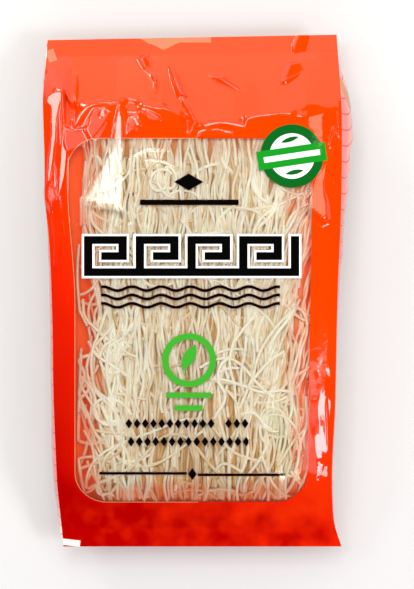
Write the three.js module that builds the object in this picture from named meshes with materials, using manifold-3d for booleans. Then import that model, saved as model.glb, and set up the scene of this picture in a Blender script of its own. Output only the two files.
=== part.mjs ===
// A sealed film bag of dried rice vermicelli, with folded sides, lying on its back.
//
// Millimetres. +X runs to the right across the front panel, +Y to the top seal, and +Z out of the
// front panel. The origin is on the floor, below the middle of the bag.
//
// The bag is one closed solid out to its film. The front panel is printed round a large clear
// window, where the film lies 1 mm or so lower and the outermost noodles show in relief.

import * as THREE from "three";
import { mergeVertices } from "three/addons/utils/BufferGeometryUtils.js";
import Module from "manifold-3d";

const wasm = await Module();
wasm.setup();

// ---- Driving dimensions ----

const topEdgeY = 142.1; // outer edges of the two end seals, at the middle of the bag
const bottomEdgeY = -143.7;
const topEdgeLean = 1.5; // how far the right end of the top edge stands beyond its middle
const sealDepth = 10; // flat part of each seal, along Y
const sealThickness = 1.6;
// How high the inner line of each seal lies above the floor, and how far its outer edge hangs
// below that.
const topSeal = { height: 23, droop: 3.6 };
const bottomSeal = { height: 22, droop: 3 };

const blockTopY = 97; // the front panel is level between about these two
const blockBottomY = -105;
const frontHeight = 46; // film over the middle of the block
const backFoldHeight = 6; // where the side panels turn under to the back
const backInset = 6; // the back's flat is this much narrower on each side
const sideCrease = 1.2; // depth of the fold line down the middle of each side panel
// 1 is a flat slope from seal to block; more rounds the block's edge.
const slopeRoundness = { top: 1.2, bottom: 1.05 };
const sideFullness = 0.7; // under 1 makes the bulge of a side panel fuller than a half circle
const swellHeight = { broad: 0.3, narrow: 0.1 }; // unevenness of the block under the film

// How the front panel curls down to its folds, by place across from 0 in the middle to 1 at a
// fold: a slight sag of the whole, then from each start its steepness and how fast that grows,
// in mm over half the width.
const sag = { depth: 0.45, reach: 0.8 };
const leftCurl = [
  { start: 0.8, end: 0.885, steepness: 12.2, growth: 55 },
  { start: 0.885, end: 1, steepness: 33, growth: 40 },
];
const rightCurl = [{ start: 0.77, end: 1, steepness: 4.8, growth: 99 }];

// Where the slope from the top seal meets the level panel: [X, Y], left to right.
const breakLine = [
  [-90, 112],
  [-76, 110],
  [-66, 101],
  [-45, 103],
  [-20, 99],
  [0, 94],
  [25, 93],
  [50, 96],
  [90, 100],
];

// Side folds of the front panel and outermost line of the side panels: [Y, X], top to bottom.
const leftFold = [
  [144, -84.4],
  [103, -85.2],
  [70, -84.4],
  [52, -84.2],
  [30, -82.1],
  [-12, -80.2],
  [-60, -79.4],
  [-95, -78.0],
  [-120, -76.9],
  [-144, -75.6],
];
const rightFold = [
  [144, 77.7],
  [120, 78.6],
  [96, 79.2],
  [48, 78.9],
  [0, 77.0],
  [-60, 75.7],
  [-115, 74.4],
  [-130, 76.2],
  [-144, 80.6],
];
const leftSide = [
  [144, -84.4],
  [103, -86.8],
  [70, -84.8],
  [52, -85.7],
  [30, -84.0],
  [-12, -82.9],
  [-60, -82.3],
  [-95, -81.7],
  [-120, -79.4],
  [-144, -75.6],
];
const rightSide = [
  [144, 77.7],
  [125, 79.2],
  [110, 84.4],
  [98, 86.8],
  [76, 85.7],
  [48, 83.4],
  [0, 78.9],
  [-60, 76.8],
  [-115, 75.6],
  [-130, 76.6],
  [-144, 80.6],
];

// The clear window: a tall rectangle, a little wider at its top.
const windowTopY = 83;
const windowBottomY = -117;
const windowLeft = { top: -71.6, bottom: -67.0 };
const windowRight = { top: 63.0, bottom: 59.8 };
const windowCorner = 18;
const windowDepth = 1.1;

// Folds pressed into the front panel: from and to are [X, Y]; rise is negative for a furrow.
const creases = [
  { from: [-22, 131], to: [-4, 95], width: 3, rise: 1 },
  { from: [-41, 100], to: [-43, 42], width: 3, rise: 0.9 },
  { from: [-78, 113], to: [-78, 60], width: 4, rise: 0.8 },
  { from: [-69, 88], to: [-57, 84], width: 4, rise: 0.8 },
  { from: [70, 72], to: [66, 40], width: 4, rise: 1 },
  { from: [60, 140], to: [50, 114], width: 4, rise: 0.9 },
  { from: [-62, -104], to: [-46, -131], width: 6, rise: 0.7 },
  { from: [-14, -117], to: [-22, -134], width: 6, rise: 0.6 },
  { from: [24, -119], to: [31, -134], width: 6, rise: 0.6 },
  { from: [62, -124], to: [72, -135], width: 5, rise: 0.8 },
];

// Noodles that show at the window.
const noodleCount = 28;
const noodleRadius = 0.8;
const noodleSides = 4;
const noodleSteps = 9;
const noodleLength = { least: 78, most: 106 };
const noodleSway = { least: 2, most: 6 };
const windowMargin = 4; // noodles keep this far inside the window's edge
const seed = 71;

// Fineness of the film surface.
const frontColumns = 24;
const columnCrowding = 0.6; // 0 spaces the columns evenly; more draws them to the folds
const sideRows = 6;
const backColumns = 6;
const levelRows = 18; // across the level stretch over the block
const slopeRows = 8; // on the slope to each seal

const filmColour = 0xf23a0c;

// ---- Small helpers ----

// 0 up to from and 1 past to, with a smooth run between; from may be the larger.
function smooth(from, to, value) {
  return THREE.MathUtils.smoothstep((value - from) / (to - from), 0, 1);
}

// Value at y of a smooth line through [y, value] points that run from the top down.
function along(points, y) {
  let i = 0;
  while (i < points.length - 2 && y < points[i + 1][0]) i += 1;
  const [y0, v0] = points[i];
  const [y1, v1] = points[i + 1];
  const slope = (a, b) => (b[1] - a[1]) / (b[0] - a[0]);
  const here = slope(points[i], points[i + 1]);
  const before = i > 0 ? slope(points[i - 1], points[i + 1]) : here;
  const after = i < points.length - 2 ? slope(points[i], points[i + 2]) : here;
  const s = THREE.MathUtils.clamp((y - y0) / (y1 - y0), 0, 1);
  const span = y1 - y0;
  return (
    v0 * (1 + 2 * s) * (1 - s) ** 2 +
    before * span * s * (1 - s) ** 2 +
    v1 * s * s * (3 - 2 * s) +
    after * span * s * s * (s - 1)
  );
}

// Evenly spread numbers from 0 to 1 that are the same on every run.
function makeRandom(start) {
  let state = start;
  return () => {
    state = (state * 1664525 + 1013904223) % 4294967296;
    return state / 4294967296;
  };
}

// ---- Form of the film ----

// 0 at a seal, 1 over the block: how far the bag is open.
function openingAt(x, y) {
  if (y > 0) return slopeUp(topEdgeY - sealDepth, breakAt(x), slopeRoundness.top, y);
  return slopeUp(bottomEdgeY + sealDepth, blockBottomY, slopeRoundness.bottom, y);
}

function breakAt(x) {
  const i = breakLine.findIndex(([nextX]) => nextX > x);
  const [x0, y0] = breakLine[i - 1];
  const [x1, y1] = breakLine[i];
  return THREE.MathUtils.mapLinear(x, x0, x1, y0, y1);
}

// Rises from the seal and rounds off where it reaches the block.
function slopeUp(sealY, blockY, roundness, y) {
  const s = THREE.MathUtils.clamp((y - sealY) / (blockY - sealY), 0, 1);
  return 1 - (1 - s) ** roundness;
}

function sealHeight(y) {
  const seal = y > 0 ? topSeal : bottomSeal;
  const toEdge = y > 0 ? topEdgeY - y : y - bottomEdgeY;
  return seal.height - seal.droop * THREE.MathUtils.clamp(1 - toEdge / sealDepth, 0, 1);
}

function creaseRise(x, y) {
  let rise = 0;
  for (const crease of creases) {
    const [ax, ay] = crease.from;
    const [bx, by] = crease.to;
    const length = Math.hypot(bx - ax, by - ay);
    const s = ((x - ax) * (bx - ax) + (y - ay) * (by - ay)) / length ** 2;
    const off = ((x - ax) * (by - ay) - (y - ay) * (bx - ax)) / length;
    const ends = smooth(-0.1, 0.25, s) * (1 - smooth(0.75, 1.1, s));
    rise += crease.rise * ends * Math.exp(-((off / crease.width) ** 2));
  }
  return rise;
}

// Slight unevenness of the packed noodles below the film: a broad wave and a narrower one.
function swell(x, y) {
  const broad = Math.sin(x / 15 + 0.6) * Math.sin(y / 21 - 0.4);
  const narrow = Math.sin(x / 9 + y / 13);
  return swellHeight.broad * broad + swellHeight.narrow * narrow;
}

// How far the front panel lies below its highest line, by place across from -1 to 1.
function curlDrop(across) {
  const away = Math.abs(across);
  let drop = sag.depth * Math.min(away / sag.reach, 1) ** 4;
  for (const { start, end, steepness, growth } of across < 0 ? leftCurl : rightCurl) {
    const past = THREE.MathUtils.clamp(away, start, end) - start;
    drop += steepness * past + growth * past ** 2;
  }
  return drop;
}

// Height of the front film.
function frontHeightAt(x, y) {
  const open = openingAt(x, y);
  const left = along(leftFold, y);
  const right = along(rightFold, y);
  const across = THREE.MathUtils.clamp((2 * x - left - right) / (right - left), -1, 1);
  const inner = smooth(1, 0.8, Math.abs(across));
  const rim = sealHeight(y) + sealThickness / 2;
  const crown = (frontHeight - rim - curlDrop(across)) * open;
  const relief = open * swell(x, y) + smooth(0, 0.25, open) * creaseRise(x, y);
  return rim + crown + inner * relief;
}

function backHeightAt(x, y) {
  return (sealHeight(y) - sealThickness / 2) * (1 - openingAt(x, y));
}

// One closed ring of points round the bag at y, from the left fold across the front and back
// again underneath.
function ringAt(y, frontRecess) {
  const left = along(leftFold, y);
  const right = along(rightFold, y);
  const ring = [];
  for (let i = 0; i <= frontColumns; i += 1) {
    const even = i / frontColumns;
    const crowded = (1 - Math.cos(Math.PI * even)) / 2;
    const place = THREE.MathUtils.lerp(even, crowded, columnCrowding);
    const x = THREE.MathUtils.lerp(left, right, place);
    ring.push([x, frontHeightAt(x, y) - frontRecess]);
  }
  ring.push(...sideRow(right, along(rightSide, y), y, 1));
  const leftEnd = left + backInset * openingAt(left, y);
  const rightEnd = right - backInset * openingAt(right, y);
  for (let i = 0; i <= backColumns; i += 1) {
    const x = THREE.MathUtils.lerp(rightEnd, leftEnd, i / backColumns);
    ring.push([x, backHeightAt(x, y)]);
  }
  ring.push(...sideRow(left, along(leftSide, y), y, -1).reverse());
  return ring.map(([x, z]) => new THREE.Vector3(x, leaningY(x, y), z));
}

// Points down a side panel, from just below the front fold to where it turns under.
function sideRow(fold, outermost, y, side) {
  const open = openingAt(fold, y);
  const top = frontHeightAt(fold, y);
  const low = backHeightAt(fold, y) + backFoldHeight * open;
  const points = [];
  for (let i = 1; i <= sideRows; i += 1) {
    const s = i / (sideRows + 1);
    const bulge = (outermost - fold) * Math.sin(Math.PI * s) ** sideFullness;
    const crease = side * sideCrease * open * Math.exp(-(((s - 0.5) / 0.12) ** 2));
    const tuck = ((side * backInset) / 2) * open * smooth(0.8, 1, s);
    points.push([fold + bulge - crease - tuck, THREE.MathUtils.lerp(top, low, s)]);
  }
  return points;
}

// The top edge isn't square to the sides: it leans more the nearer it is to the seal.
function leaningY(x, y) {
  return y + topEdgeLean * (x / 80) * smooth(blockTopY - 20, topEdgeY, y);
}

// Rows of the film, closer together on the slopes than over the block.
function rowPlaces() {
  const places = [topEdgeY];
  for (let i = 0; i < slopeRows; i += 1)
    places.push(THREE.MathUtils.lerp(topEdgeY - sealDepth, blockTopY, i / slopeRows));
  for (let i = 0; i <= levelRows; i += 1)
    places.push(THREE.MathUtils.lerp(blockTopY, blockBottomY, i / levelRows));
  for (let i = slopeRows - 1; i >= 0; i -= 1)
    places.push(THREE.MathUtils.lerp(bottomEdgeY + sealDepth, blockBottomY, i / slopeRows));
  places.push(bottomEdgeY);
  return places;
}

// ---- Meshes and solids ----

// Closed surface through rings of equally many points, with a fan over each end.
function loft(rings) {
  const around = rings[0].length;
  const points = rings.flat();
  const faces = [];
  for (let row = 0; row < rings.length - 1; row += 1) {
    for (let i = 0; i < around; i += 1) {
      const a = row * around + i;
      const b = row * around + ((i + 1) % around);
      faces.push(a, a + around, b, b, a + around, b + around);
    }
  }
  for (const row of [0, rings.length - 1]) {
    const middle = points.length;
    const centre = new THREE.Vector3();
    rings[row].forEach((point) => centre.addScaledVector(point, 1 / around));
    points.push(centre);
    for (let i = 0; i < around; i += 1) {
      const a = row * around + i;
      const b = row * around + ((i + 1) % around);
      faces.push(...(row === 0 ? [middle, a, b] : [middle, b, a]));
    }
  }
  return new THREE.BufferGeometry().setFromPoints(points).setIndex(faces);
}

function solidOf(geometry) {
  const bare = geometry.clone();
  bare.deleteAttribute("normal");
  bare.deleteAttribute("uv");
  const merged = mergeVertices(bare, 1e-4);
  return new wasm.Manifold(
    new wasm.Mesh({
      numProp: 3,
      vertProperties: merged.getAttribute("position").array,
      triVerts: new Uint32Array(merged.getIndex().array),
    }),
  );
}

function geometryOf(solid) {
  const mesh = solid.getMesh();
  const geometry = new THREE.BufferGeometry();
  geometry.setAttribute("position", new THREE.BufferAttribute(mesh.vertProperties, 3));
  geometry.setIndex(new THREE.BufferAttribute(mesh.triVerts, 1));
  geometry.computeVertexNormals();
  return geometry;
}

function filmSolid(frontRecess) {
  return solidOf(loft(rowPlaces().map((y) => ringAt(y, frontRecess))));
}

// An upright block with the window's outline, tall enough to pass through the front film.
function windowBlock() {
  const corners = [
    [windowLeft.bottom, windowBottomY],
    [windowRight.bottom, windowBottomY],
    [windowRight.top, windowTopY],
    [windowLeft.top, windowTopY],
  ].map(([x, y]) => new THREE.Vector2(x, y));
  const outline = new THREE.Shape();
  corners.forEach((corner, i) => {
    const before = corners[(i + 3) % 4];
    const after = corners[(i + 1) % 4];
    const start = corner.clone().add(before.clone().sub(corner).setLength(windowCorner));
    const end = corner.clone().add(after.clone().sub(corner).setLength(windowCorner));
    if (i === 0) outline.moveTo(start.x, start.y);
    else outline.lineTo(start.x, start.y);
    outline.quadraticCurveTo(corner.x, corner.y, end.x, end.y);
  });
  outline.closePath();
  const block = new THREE.ExtrudeGeometry(outline, {
    depth: frontHeight,
    curveSegments: 6,
    bevelEnabled: false,
  });
  return solidOf(block.translate(0, 0, frontHeight / 2));
}

// ---- Noodles ----

// The least and the greatest x that a noodle may have at y.
function windowSpan(y) {
  const s = (y - windowBottomY) / (windowTopY - windowBottomY);
  return [
    THREE.MathUtils.lerp(windowLeft.bottom, windowLeft.top, s) + windowMargin,
    THREE.MathUtils.lerp(windowRight.bottom, windowRight.top, s) - windowMargin,
  ];
}

// A wavy noodle that runs mostly along the bag, half sunk in the block.
function noodleSolid(startX, startY, length, sway, phase) {
  const path = [];
  for (let i = 0; i <= noodleSteps; i += 1) {
    const y = startY - (length * i) / noodleSteps;
    const wave = Math.sin(phase + i * 0.6) + 0.4 * Math.sin(2 * phase + i);
    const [least, most] = windowSpan(y);
    const x = THREE.MathUtils.clamp(startX + sway * wave, least, most);
    path.push(new THREE.Vector3(x, y, frontHeightAt(x, y) - windowDepth + noodleRadius * 0.6));
  }
  const section = new THREE.Shape(
    Array.from({ length: noodleSides }, (_, i) => {
      const angle = (2 * Math.PI * i) / noodleSides;
      return new THREE.Vector2(noodleRadius * Math.cos(angle), noodleRadius * Math.sin(angle));
    }),
  );
  return solidOf(
    new THREE.ExtrudeGeometry(section, {
      steps: noodleSteps,
      extrudePath: new THREE.CatmullRomCurve3(path),
      bevelEnabled: false,
    }),
  );
}

// Noodles are dealt out over the window in two tiers of columns: one hangs from its top, and the
// other stands on its bottom.
function addNoodles(solid) {
  const random = makeRandom(seed);
  const between = ({ least, most }) => THREE.MathUtils.lerp(least, most, random());
  const columns = noodleCount / 2;
  const lowest = windowBottomY + windowMargin;
  const highest = windowTopY - windowMargin;
  let whole = solid;
  for (let i = 0; i < noodleCount; i += 1) {
    const column = (i % columns) + 0.5;
    const upper = i < columns;
    const length = between(noodleLength);
    const start = upper ? highest : lowest + length;
    const [left, right] = windowSpan(start);
    const x = THREE.MathUtils.lerp(left, right, column / columns) + 3 * (random() - 0.5);
    whole = whole.add(noodleSolid(x, start, length, between(noodleSway), 6.28 * random()));
  }
  return whole;
}

// The largest body alone: pockets that crossing noodles shut in are filled by this.
function withoutPockets(solid) {
  return solid.decompose().reduce((a, b) => (b.volume() > a.volume() ? b : a));
}

// ---- The bag ----

const aboveWindow = windowBlock().subtract(filmSolid(windowDepth));
const bagSolid = withoutPockets(addNoodles(filmSolid(0).subtract(aboveWindow)));

const bagGeometry = geometryOf(bagSolid);
const middle = new THREE.Box3().setFromBufferAttribute(bagGeometry.getAttribute("position"));
const bag = new THREE.Mesh(
  bagGeometry,
  new THREE.MeshStandardMaterial({ color: filmColour, roughness: 0.25, metalness: 0 }),
);
bag.name = "bag";
bag.position.set(-(middle.min.x + middle.max.x) / 2, -(middle.min.y + middle.max.y) / 2, 0);

const pack = new THREE.Group();
pack.add(bag);

export default pack;
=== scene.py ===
import math

import bpy
import mathutils
import numpy as np
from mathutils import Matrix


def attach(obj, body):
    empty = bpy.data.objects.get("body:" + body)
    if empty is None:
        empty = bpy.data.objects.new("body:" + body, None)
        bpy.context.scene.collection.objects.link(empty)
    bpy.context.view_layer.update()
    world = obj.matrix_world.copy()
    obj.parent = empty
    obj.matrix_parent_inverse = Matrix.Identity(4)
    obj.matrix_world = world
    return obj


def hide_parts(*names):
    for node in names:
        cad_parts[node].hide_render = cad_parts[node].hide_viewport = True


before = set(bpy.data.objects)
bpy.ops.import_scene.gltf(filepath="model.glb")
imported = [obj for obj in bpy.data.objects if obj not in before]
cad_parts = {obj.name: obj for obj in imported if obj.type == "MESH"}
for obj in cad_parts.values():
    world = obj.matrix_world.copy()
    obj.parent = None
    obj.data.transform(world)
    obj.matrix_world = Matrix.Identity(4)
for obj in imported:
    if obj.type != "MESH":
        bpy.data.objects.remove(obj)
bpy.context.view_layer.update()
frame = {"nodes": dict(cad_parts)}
mm = 0.001
print("frame loaded:", ", ".join(frame["nodes"]))

# A sealed film bag of rice vermicelli on its back. Lengths below are millimetres in the frame:
# +X right, +Y to the top seal, +Z up out of the front panel.

bag = {
    "topEdge": 142.1,
    "bottomEdge": -143.7,
    "topLean": 1.5,              # the top edge climbs this much from its middle to its right end
    "sealDepth": 10.0,
    "topSeal": 23.0,             # height of each seal's inner line above the floor
    "bottomSeal": 22.0,
    "sealDroop": (3.6, 3.0),     # how far the outer edge of each seal, top and bottom, hangs below that
    "rimRise": 0.35,             # the front film lies this much above the seals' inner lines
    "blockTop": 94.0,
    "blockBottom": -105.0,
    "height": 46.0,
    "backHeight": 0.4,           # the back film above the floor
    "breakWidth": 0.2,           # how far the top slope's edge reaches past the break line
    "breakFillet": (0.8, 2.5),   # how softly the top and the bottom slope meet the level film
    "slopeRoundness": (1.2, 1.05),
    "backInset": 6.0,
    "sideCrease": 1.2,
    "sideFullness": 0.7,         # under 1 makes the side panels' bulge fuller than a half circle
    "rows": (160, 150),          # rows of the front film's mesh above and below the middle of the window
    "rowsSplit": 60.0,
    "columns": (64, 192, 64),    # columns of it beside the left fold, between and beside the right fold
    "marginWidth": 0.13,         # how much of the width each of the two outer sets takes
}
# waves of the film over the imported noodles, mm high, and fine wrinkles low on the right shoulder
unevenness = {"broad": 0.3, "narrow": 0.1, "fine": 0.02, "wrinkle": 0.055, "ripple": 0.07}

# [Y, X] of the front panel's folds and of the outermost line of each side panel, from the top
leftFold = [(144, -84.4), (103, -85.2), (70, -84.4), (52, -84.2), (30, -82.1), (-12, -80.2),
            (-60, -79.4), (-95, -78.0), (-120, -76.9), (-144, -75.6)]
rightFold = [(144, 77.7), (120, 78.6), (96, 79.2), (48, 78.9), (0, 77.0), (-60, 75.7),
             (-115, 74.4), (-130, 76.2), (-144, 80.6)]
leftSide = [(144, -84.4), (103, -86.8), (70, -84.8), (52, -85.7), (30, -84.0), (-12, -82.9),
            (-60, -82.3), (-95, -81.7), (-120, -79.4), (-144, -75.6)]
rightSide = [(144, 77.7), (125, 79.2), (110, 84.4), (98, 86.8), (76, 85.7), (48, 83.4),
             (0, 78.9), (-60, 76.8), (-115, 75.6), (-130, 76.6), (-144, 80.6)]

# [X, Y] of the crisp edge where the top slope breaks over the block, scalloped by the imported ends
breakLine = [(-90, 103), (-86, 104.5), (-82.5, 108.4), (-80, 110), (-77, 110.8), (-74.6, 110.4),
             (-73.6, 108), (-73.1, 100), (-72.5, 91.4), (-70, 90), (-67.5, 90.2), (-66.7, 93.6),
             (-64.8, 97.8), (-62.5, 101), (-60.4, 103.2), (-58.2, 104.5), (-55.5, 105.7),
             (-53.3, 105.9), (-51, 105.6), (-49.4, 104.6), (-47.8, 103.8),
             (-46.1, 104.6), (-45, 103.8), (-44.5, 106.4), (-43.4, 105.5), (-41.7, 102.8), (-40, 100.1),
             (-38.3, 98), (-36.6, 98.3), (-35, 97.8), (-33.3, 98.4), (-31.2, 100.6), (-29.6, 102.5),
             (-28.2, 102.5), (-26.3, 101.2), (-24, 100.4), (-20.8, 100.3), (-18.6, 101.5), (-16, 102.6),
             (-14.2, 101.4), (-12.5, 99.6), (-10.8, 96.7), (-9.2, 92.8), (-7.6, 89), (-5.9, 86.2),
             (-4.3, 87.3), (-2.6, 92), (0, 90.4), (3.9, 90.2), (7.8, 91.2), (12.2, 92.6), (16.5, 91.9),
             (20.9, 90.7), (25.3, 89.6), (26.4, 93.8), (29.7, 95.8), (34, 96.1), (39.6, 96.8), (45, 97.4),
             (50.5, 96.8), (54.3, 95.3), (58.7, 95), (63, 95.9), (68, 97.5), (73.6, 98.9), (90, 100)]
# the same edge without its scallops, which are gone scallopReach further up the slope
breakTrend = [(-90, 103), (-84, 107), (-79, 110), (-74.5, 109.5), (-70, 100), (-66, 99), (-45, 103),
              (-20, 99), (-9, 93), (-1, 90.8), (20, 91), (34, 94.4), (50, 96), (90, 100)]
scallopReach = 5.0

# How the front panel curls down to its side folds, in the order of |place across| from 0 to 1:
# where each stretch starts, how steep it starts and how fast it gets steeper (mm for the half width)
curlLeft = [(0.836, 16.0, 55.0), (0.885, 33.0, 40.0)]
curlRight = [(0.755, 6.0, 60.0), (0.878, 20.8, 90.0)]
curlSag = (0.45, 0.8)  # sag of the whole width, mm, and the place across from where it is complete

# Folds pressed into the film, each a ridge with flat flanks: its start and end, how wide its left and
# right flank are at the start and the end, as seen by somebody who walks that way, and how high it is.
folds = [
    # fold left of the middle, from the top
    ((-38.5, 136.6), (-35, 135.6), (2, 2), (1.2, 1.2), (0.6, 0.6)),
    ((-34.2, 134.6), (-32.2, 133.3), (1, 1), (0.9, 0.9), (0.5, 0.5)),
    ((-26.9, 109.4), (-24.4, 105), (3, 3), (0.9, 0.9), (0.3, 0.4)),
    # lens and double fold left of the middle
    ((-25.4, 130), (-21.2, 131), (3, 3), (0.9, 1.1), (0.4, 0.6)),
    ((-21.2, 131), (-15.9, 129.7), (3, 3), (0.8, 0.8), (0.5, 0.4)),
    ((-14.9, 124.8), (-12.7, 119.8), (1.4, 1.4), (0.8, 0.8), (0.4, 0.5)),
    ((-12.7, 119.8), (-7.9, 107.8), (1.4, 1.4), (0.8, 0.9), (0.5, 0.5)),
    ((-7.9, 107.8), (-3.2, 97.2), (2.4, 2.4), (1.0, 0.8), (0.6, 0.3)),
    ((-11, 100.6), (-9.6, 98.4), (1.6, 1.6), (1.0, 1.0), (0.5, 0.5)),
    # folds at the left shoulder
    ((-74.8, 113), (-73.4, 92), (1.0, 1.0), (1.0, 1.0), (0.5, 0.5)),
    ((-73.6, 112), (-69.5, 92), (0.9, 0.9), (0.9, 0.9), (0.3, 0.4)),
    ((-68.3, 93.4), (-67.7, 90.4), (1, 1), (0.9, 0.9), (0.7, 0.7)),
    ((-73, 90.6), (-67.3, 87.4), (1.6, 1.6), (2, 2), (0.3, 0.3)),
    ((-67.3, 87.4), (-60.2, 89), (1.6, 1.6), (2, 2), (0.3, 0.3)),
    ((-72, 88), (-63, 78.4), (2, 2), (1.6, 1.6), (0.2, 0.3)),
    # small creases
    ((10, 117.4), (24.5, 110), (1.2, 1.0), (3, 3), (0.5, 0.3)),
    # ridges over the window that catch the light
    ((-37, 71.5), (-27, 75.6), (2.4, 2.6), (4, 4), (0.4, 0.5)),
    ((-27, 75.6), (-16, 75.2), (2.6, 2.4), (4, 4), (0.5, 0.5)),
    ((-16, 75.2), (-4, 65), (2.2, 1.6), (4, 4), (0.45, 0.4)),
    ((-37, 71), (-21, 69.6), (1.8, 2.6), (3, 4), (0.3, 0.5)),
    ((-21, 69.6), (-6, 64.5), (2.6, 1.6), (4, 4), (0.5, 0.3)),
    ((-36, 36), (-26, 33.4), (2.0, 3.0), (4, 4), (0.4, 0.6)),
    ((-26, 33.4), (-16, 30.5), (3.0, 2.0), (4, 4), (0.6, 0.4)),
    # crease from the window's right edge to the right fold, and small ones by that fold
    ((51.5, 53.4), (61.5, 44), (1.4, 2.0), (1.2, 1.2), (0.25, 0.5)),
    ((61.5, 44), (69, 39), (1.2, 1.2), (1.2, 1.2), (0.4, 0.4)),
    ((72.5, 41.5), (78, 42.5), (1.0, 1.0), (1.2, 1.2), (0.5, 0.3)),
    ((75, 89), (72.8, 80), (1.5, 1.4), (1.4, 1.4), (0.9, 0.8)),
    ((77, 87), (78.5, 84.5), (1.0, 1.0), (1.2, 1.2), (0.8, 0.7)),
    ((77.4, 100), (77.9, 91), (1.0, 1.0), (1.2, 1.2), (0.5, 0.7)),
    ((74.5, 78), (74.8, 60), (2, 2), (2, 2), (0.3, 0.3)),
    # lines down the left fold
    ((-76.2, 51), (-74.9, 40), (0.9, 0.9), (0.9, 0.9), (0.5, 0.5)),
    ((-74.9, 40), (-73, 29.3), (0.9, 0.9), (0.9, 0.9), (0.5, 0.5)),
    ((-73, 29.3), (-77, 12), (0.9, 1.2), (0.9, 1.2), (0.5, 0.7)),
    ((-80.9, 46), (-78.4, 28), (1, 1), (1, 1), (0.5, 0.6)),
    ((-78.4, 28), (-78.6, 13), (1, 1.4), (1, 1.4), (0.5, 0.6)),
    ((-70.5, 38.3), (-65.2, 34.8), (0.9, 0.9), (0.9, 0.9), (0.4, 0.3)),
    # crumples at the lower right and along the bottom
    ((70.6, -62), (71.5, -84), (0.9, 0.9), (0.9, 0.9), (0.5, 0.4)),
    ((66, -94.5), (71, -97), (0.9, 0.9), (0.9, 0.9), (0.5, 0.6)),
    ((64.5, -106), (67.5, -105), (0.9, 0.9), (1.1, 1.1), (0.5, 0.5)),
    ((60.5, -115.5), (62, -115), (0.9, 0.9), (1.1, 1.1), (0.5, 0.5)),
    ((65, -117), (66.5, -117.6), (0.9, 0.9), (1.1, 1.1), (0.5, 0.5)),
    ((71, -119), (71.8, -121), (0.9, 0.9), (1.1, 1.1), (0.5, 0.5)),
    ((62, -124), (72, -135), (6, 7), (5, 5), (0.4, 0.5)),
]

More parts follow.
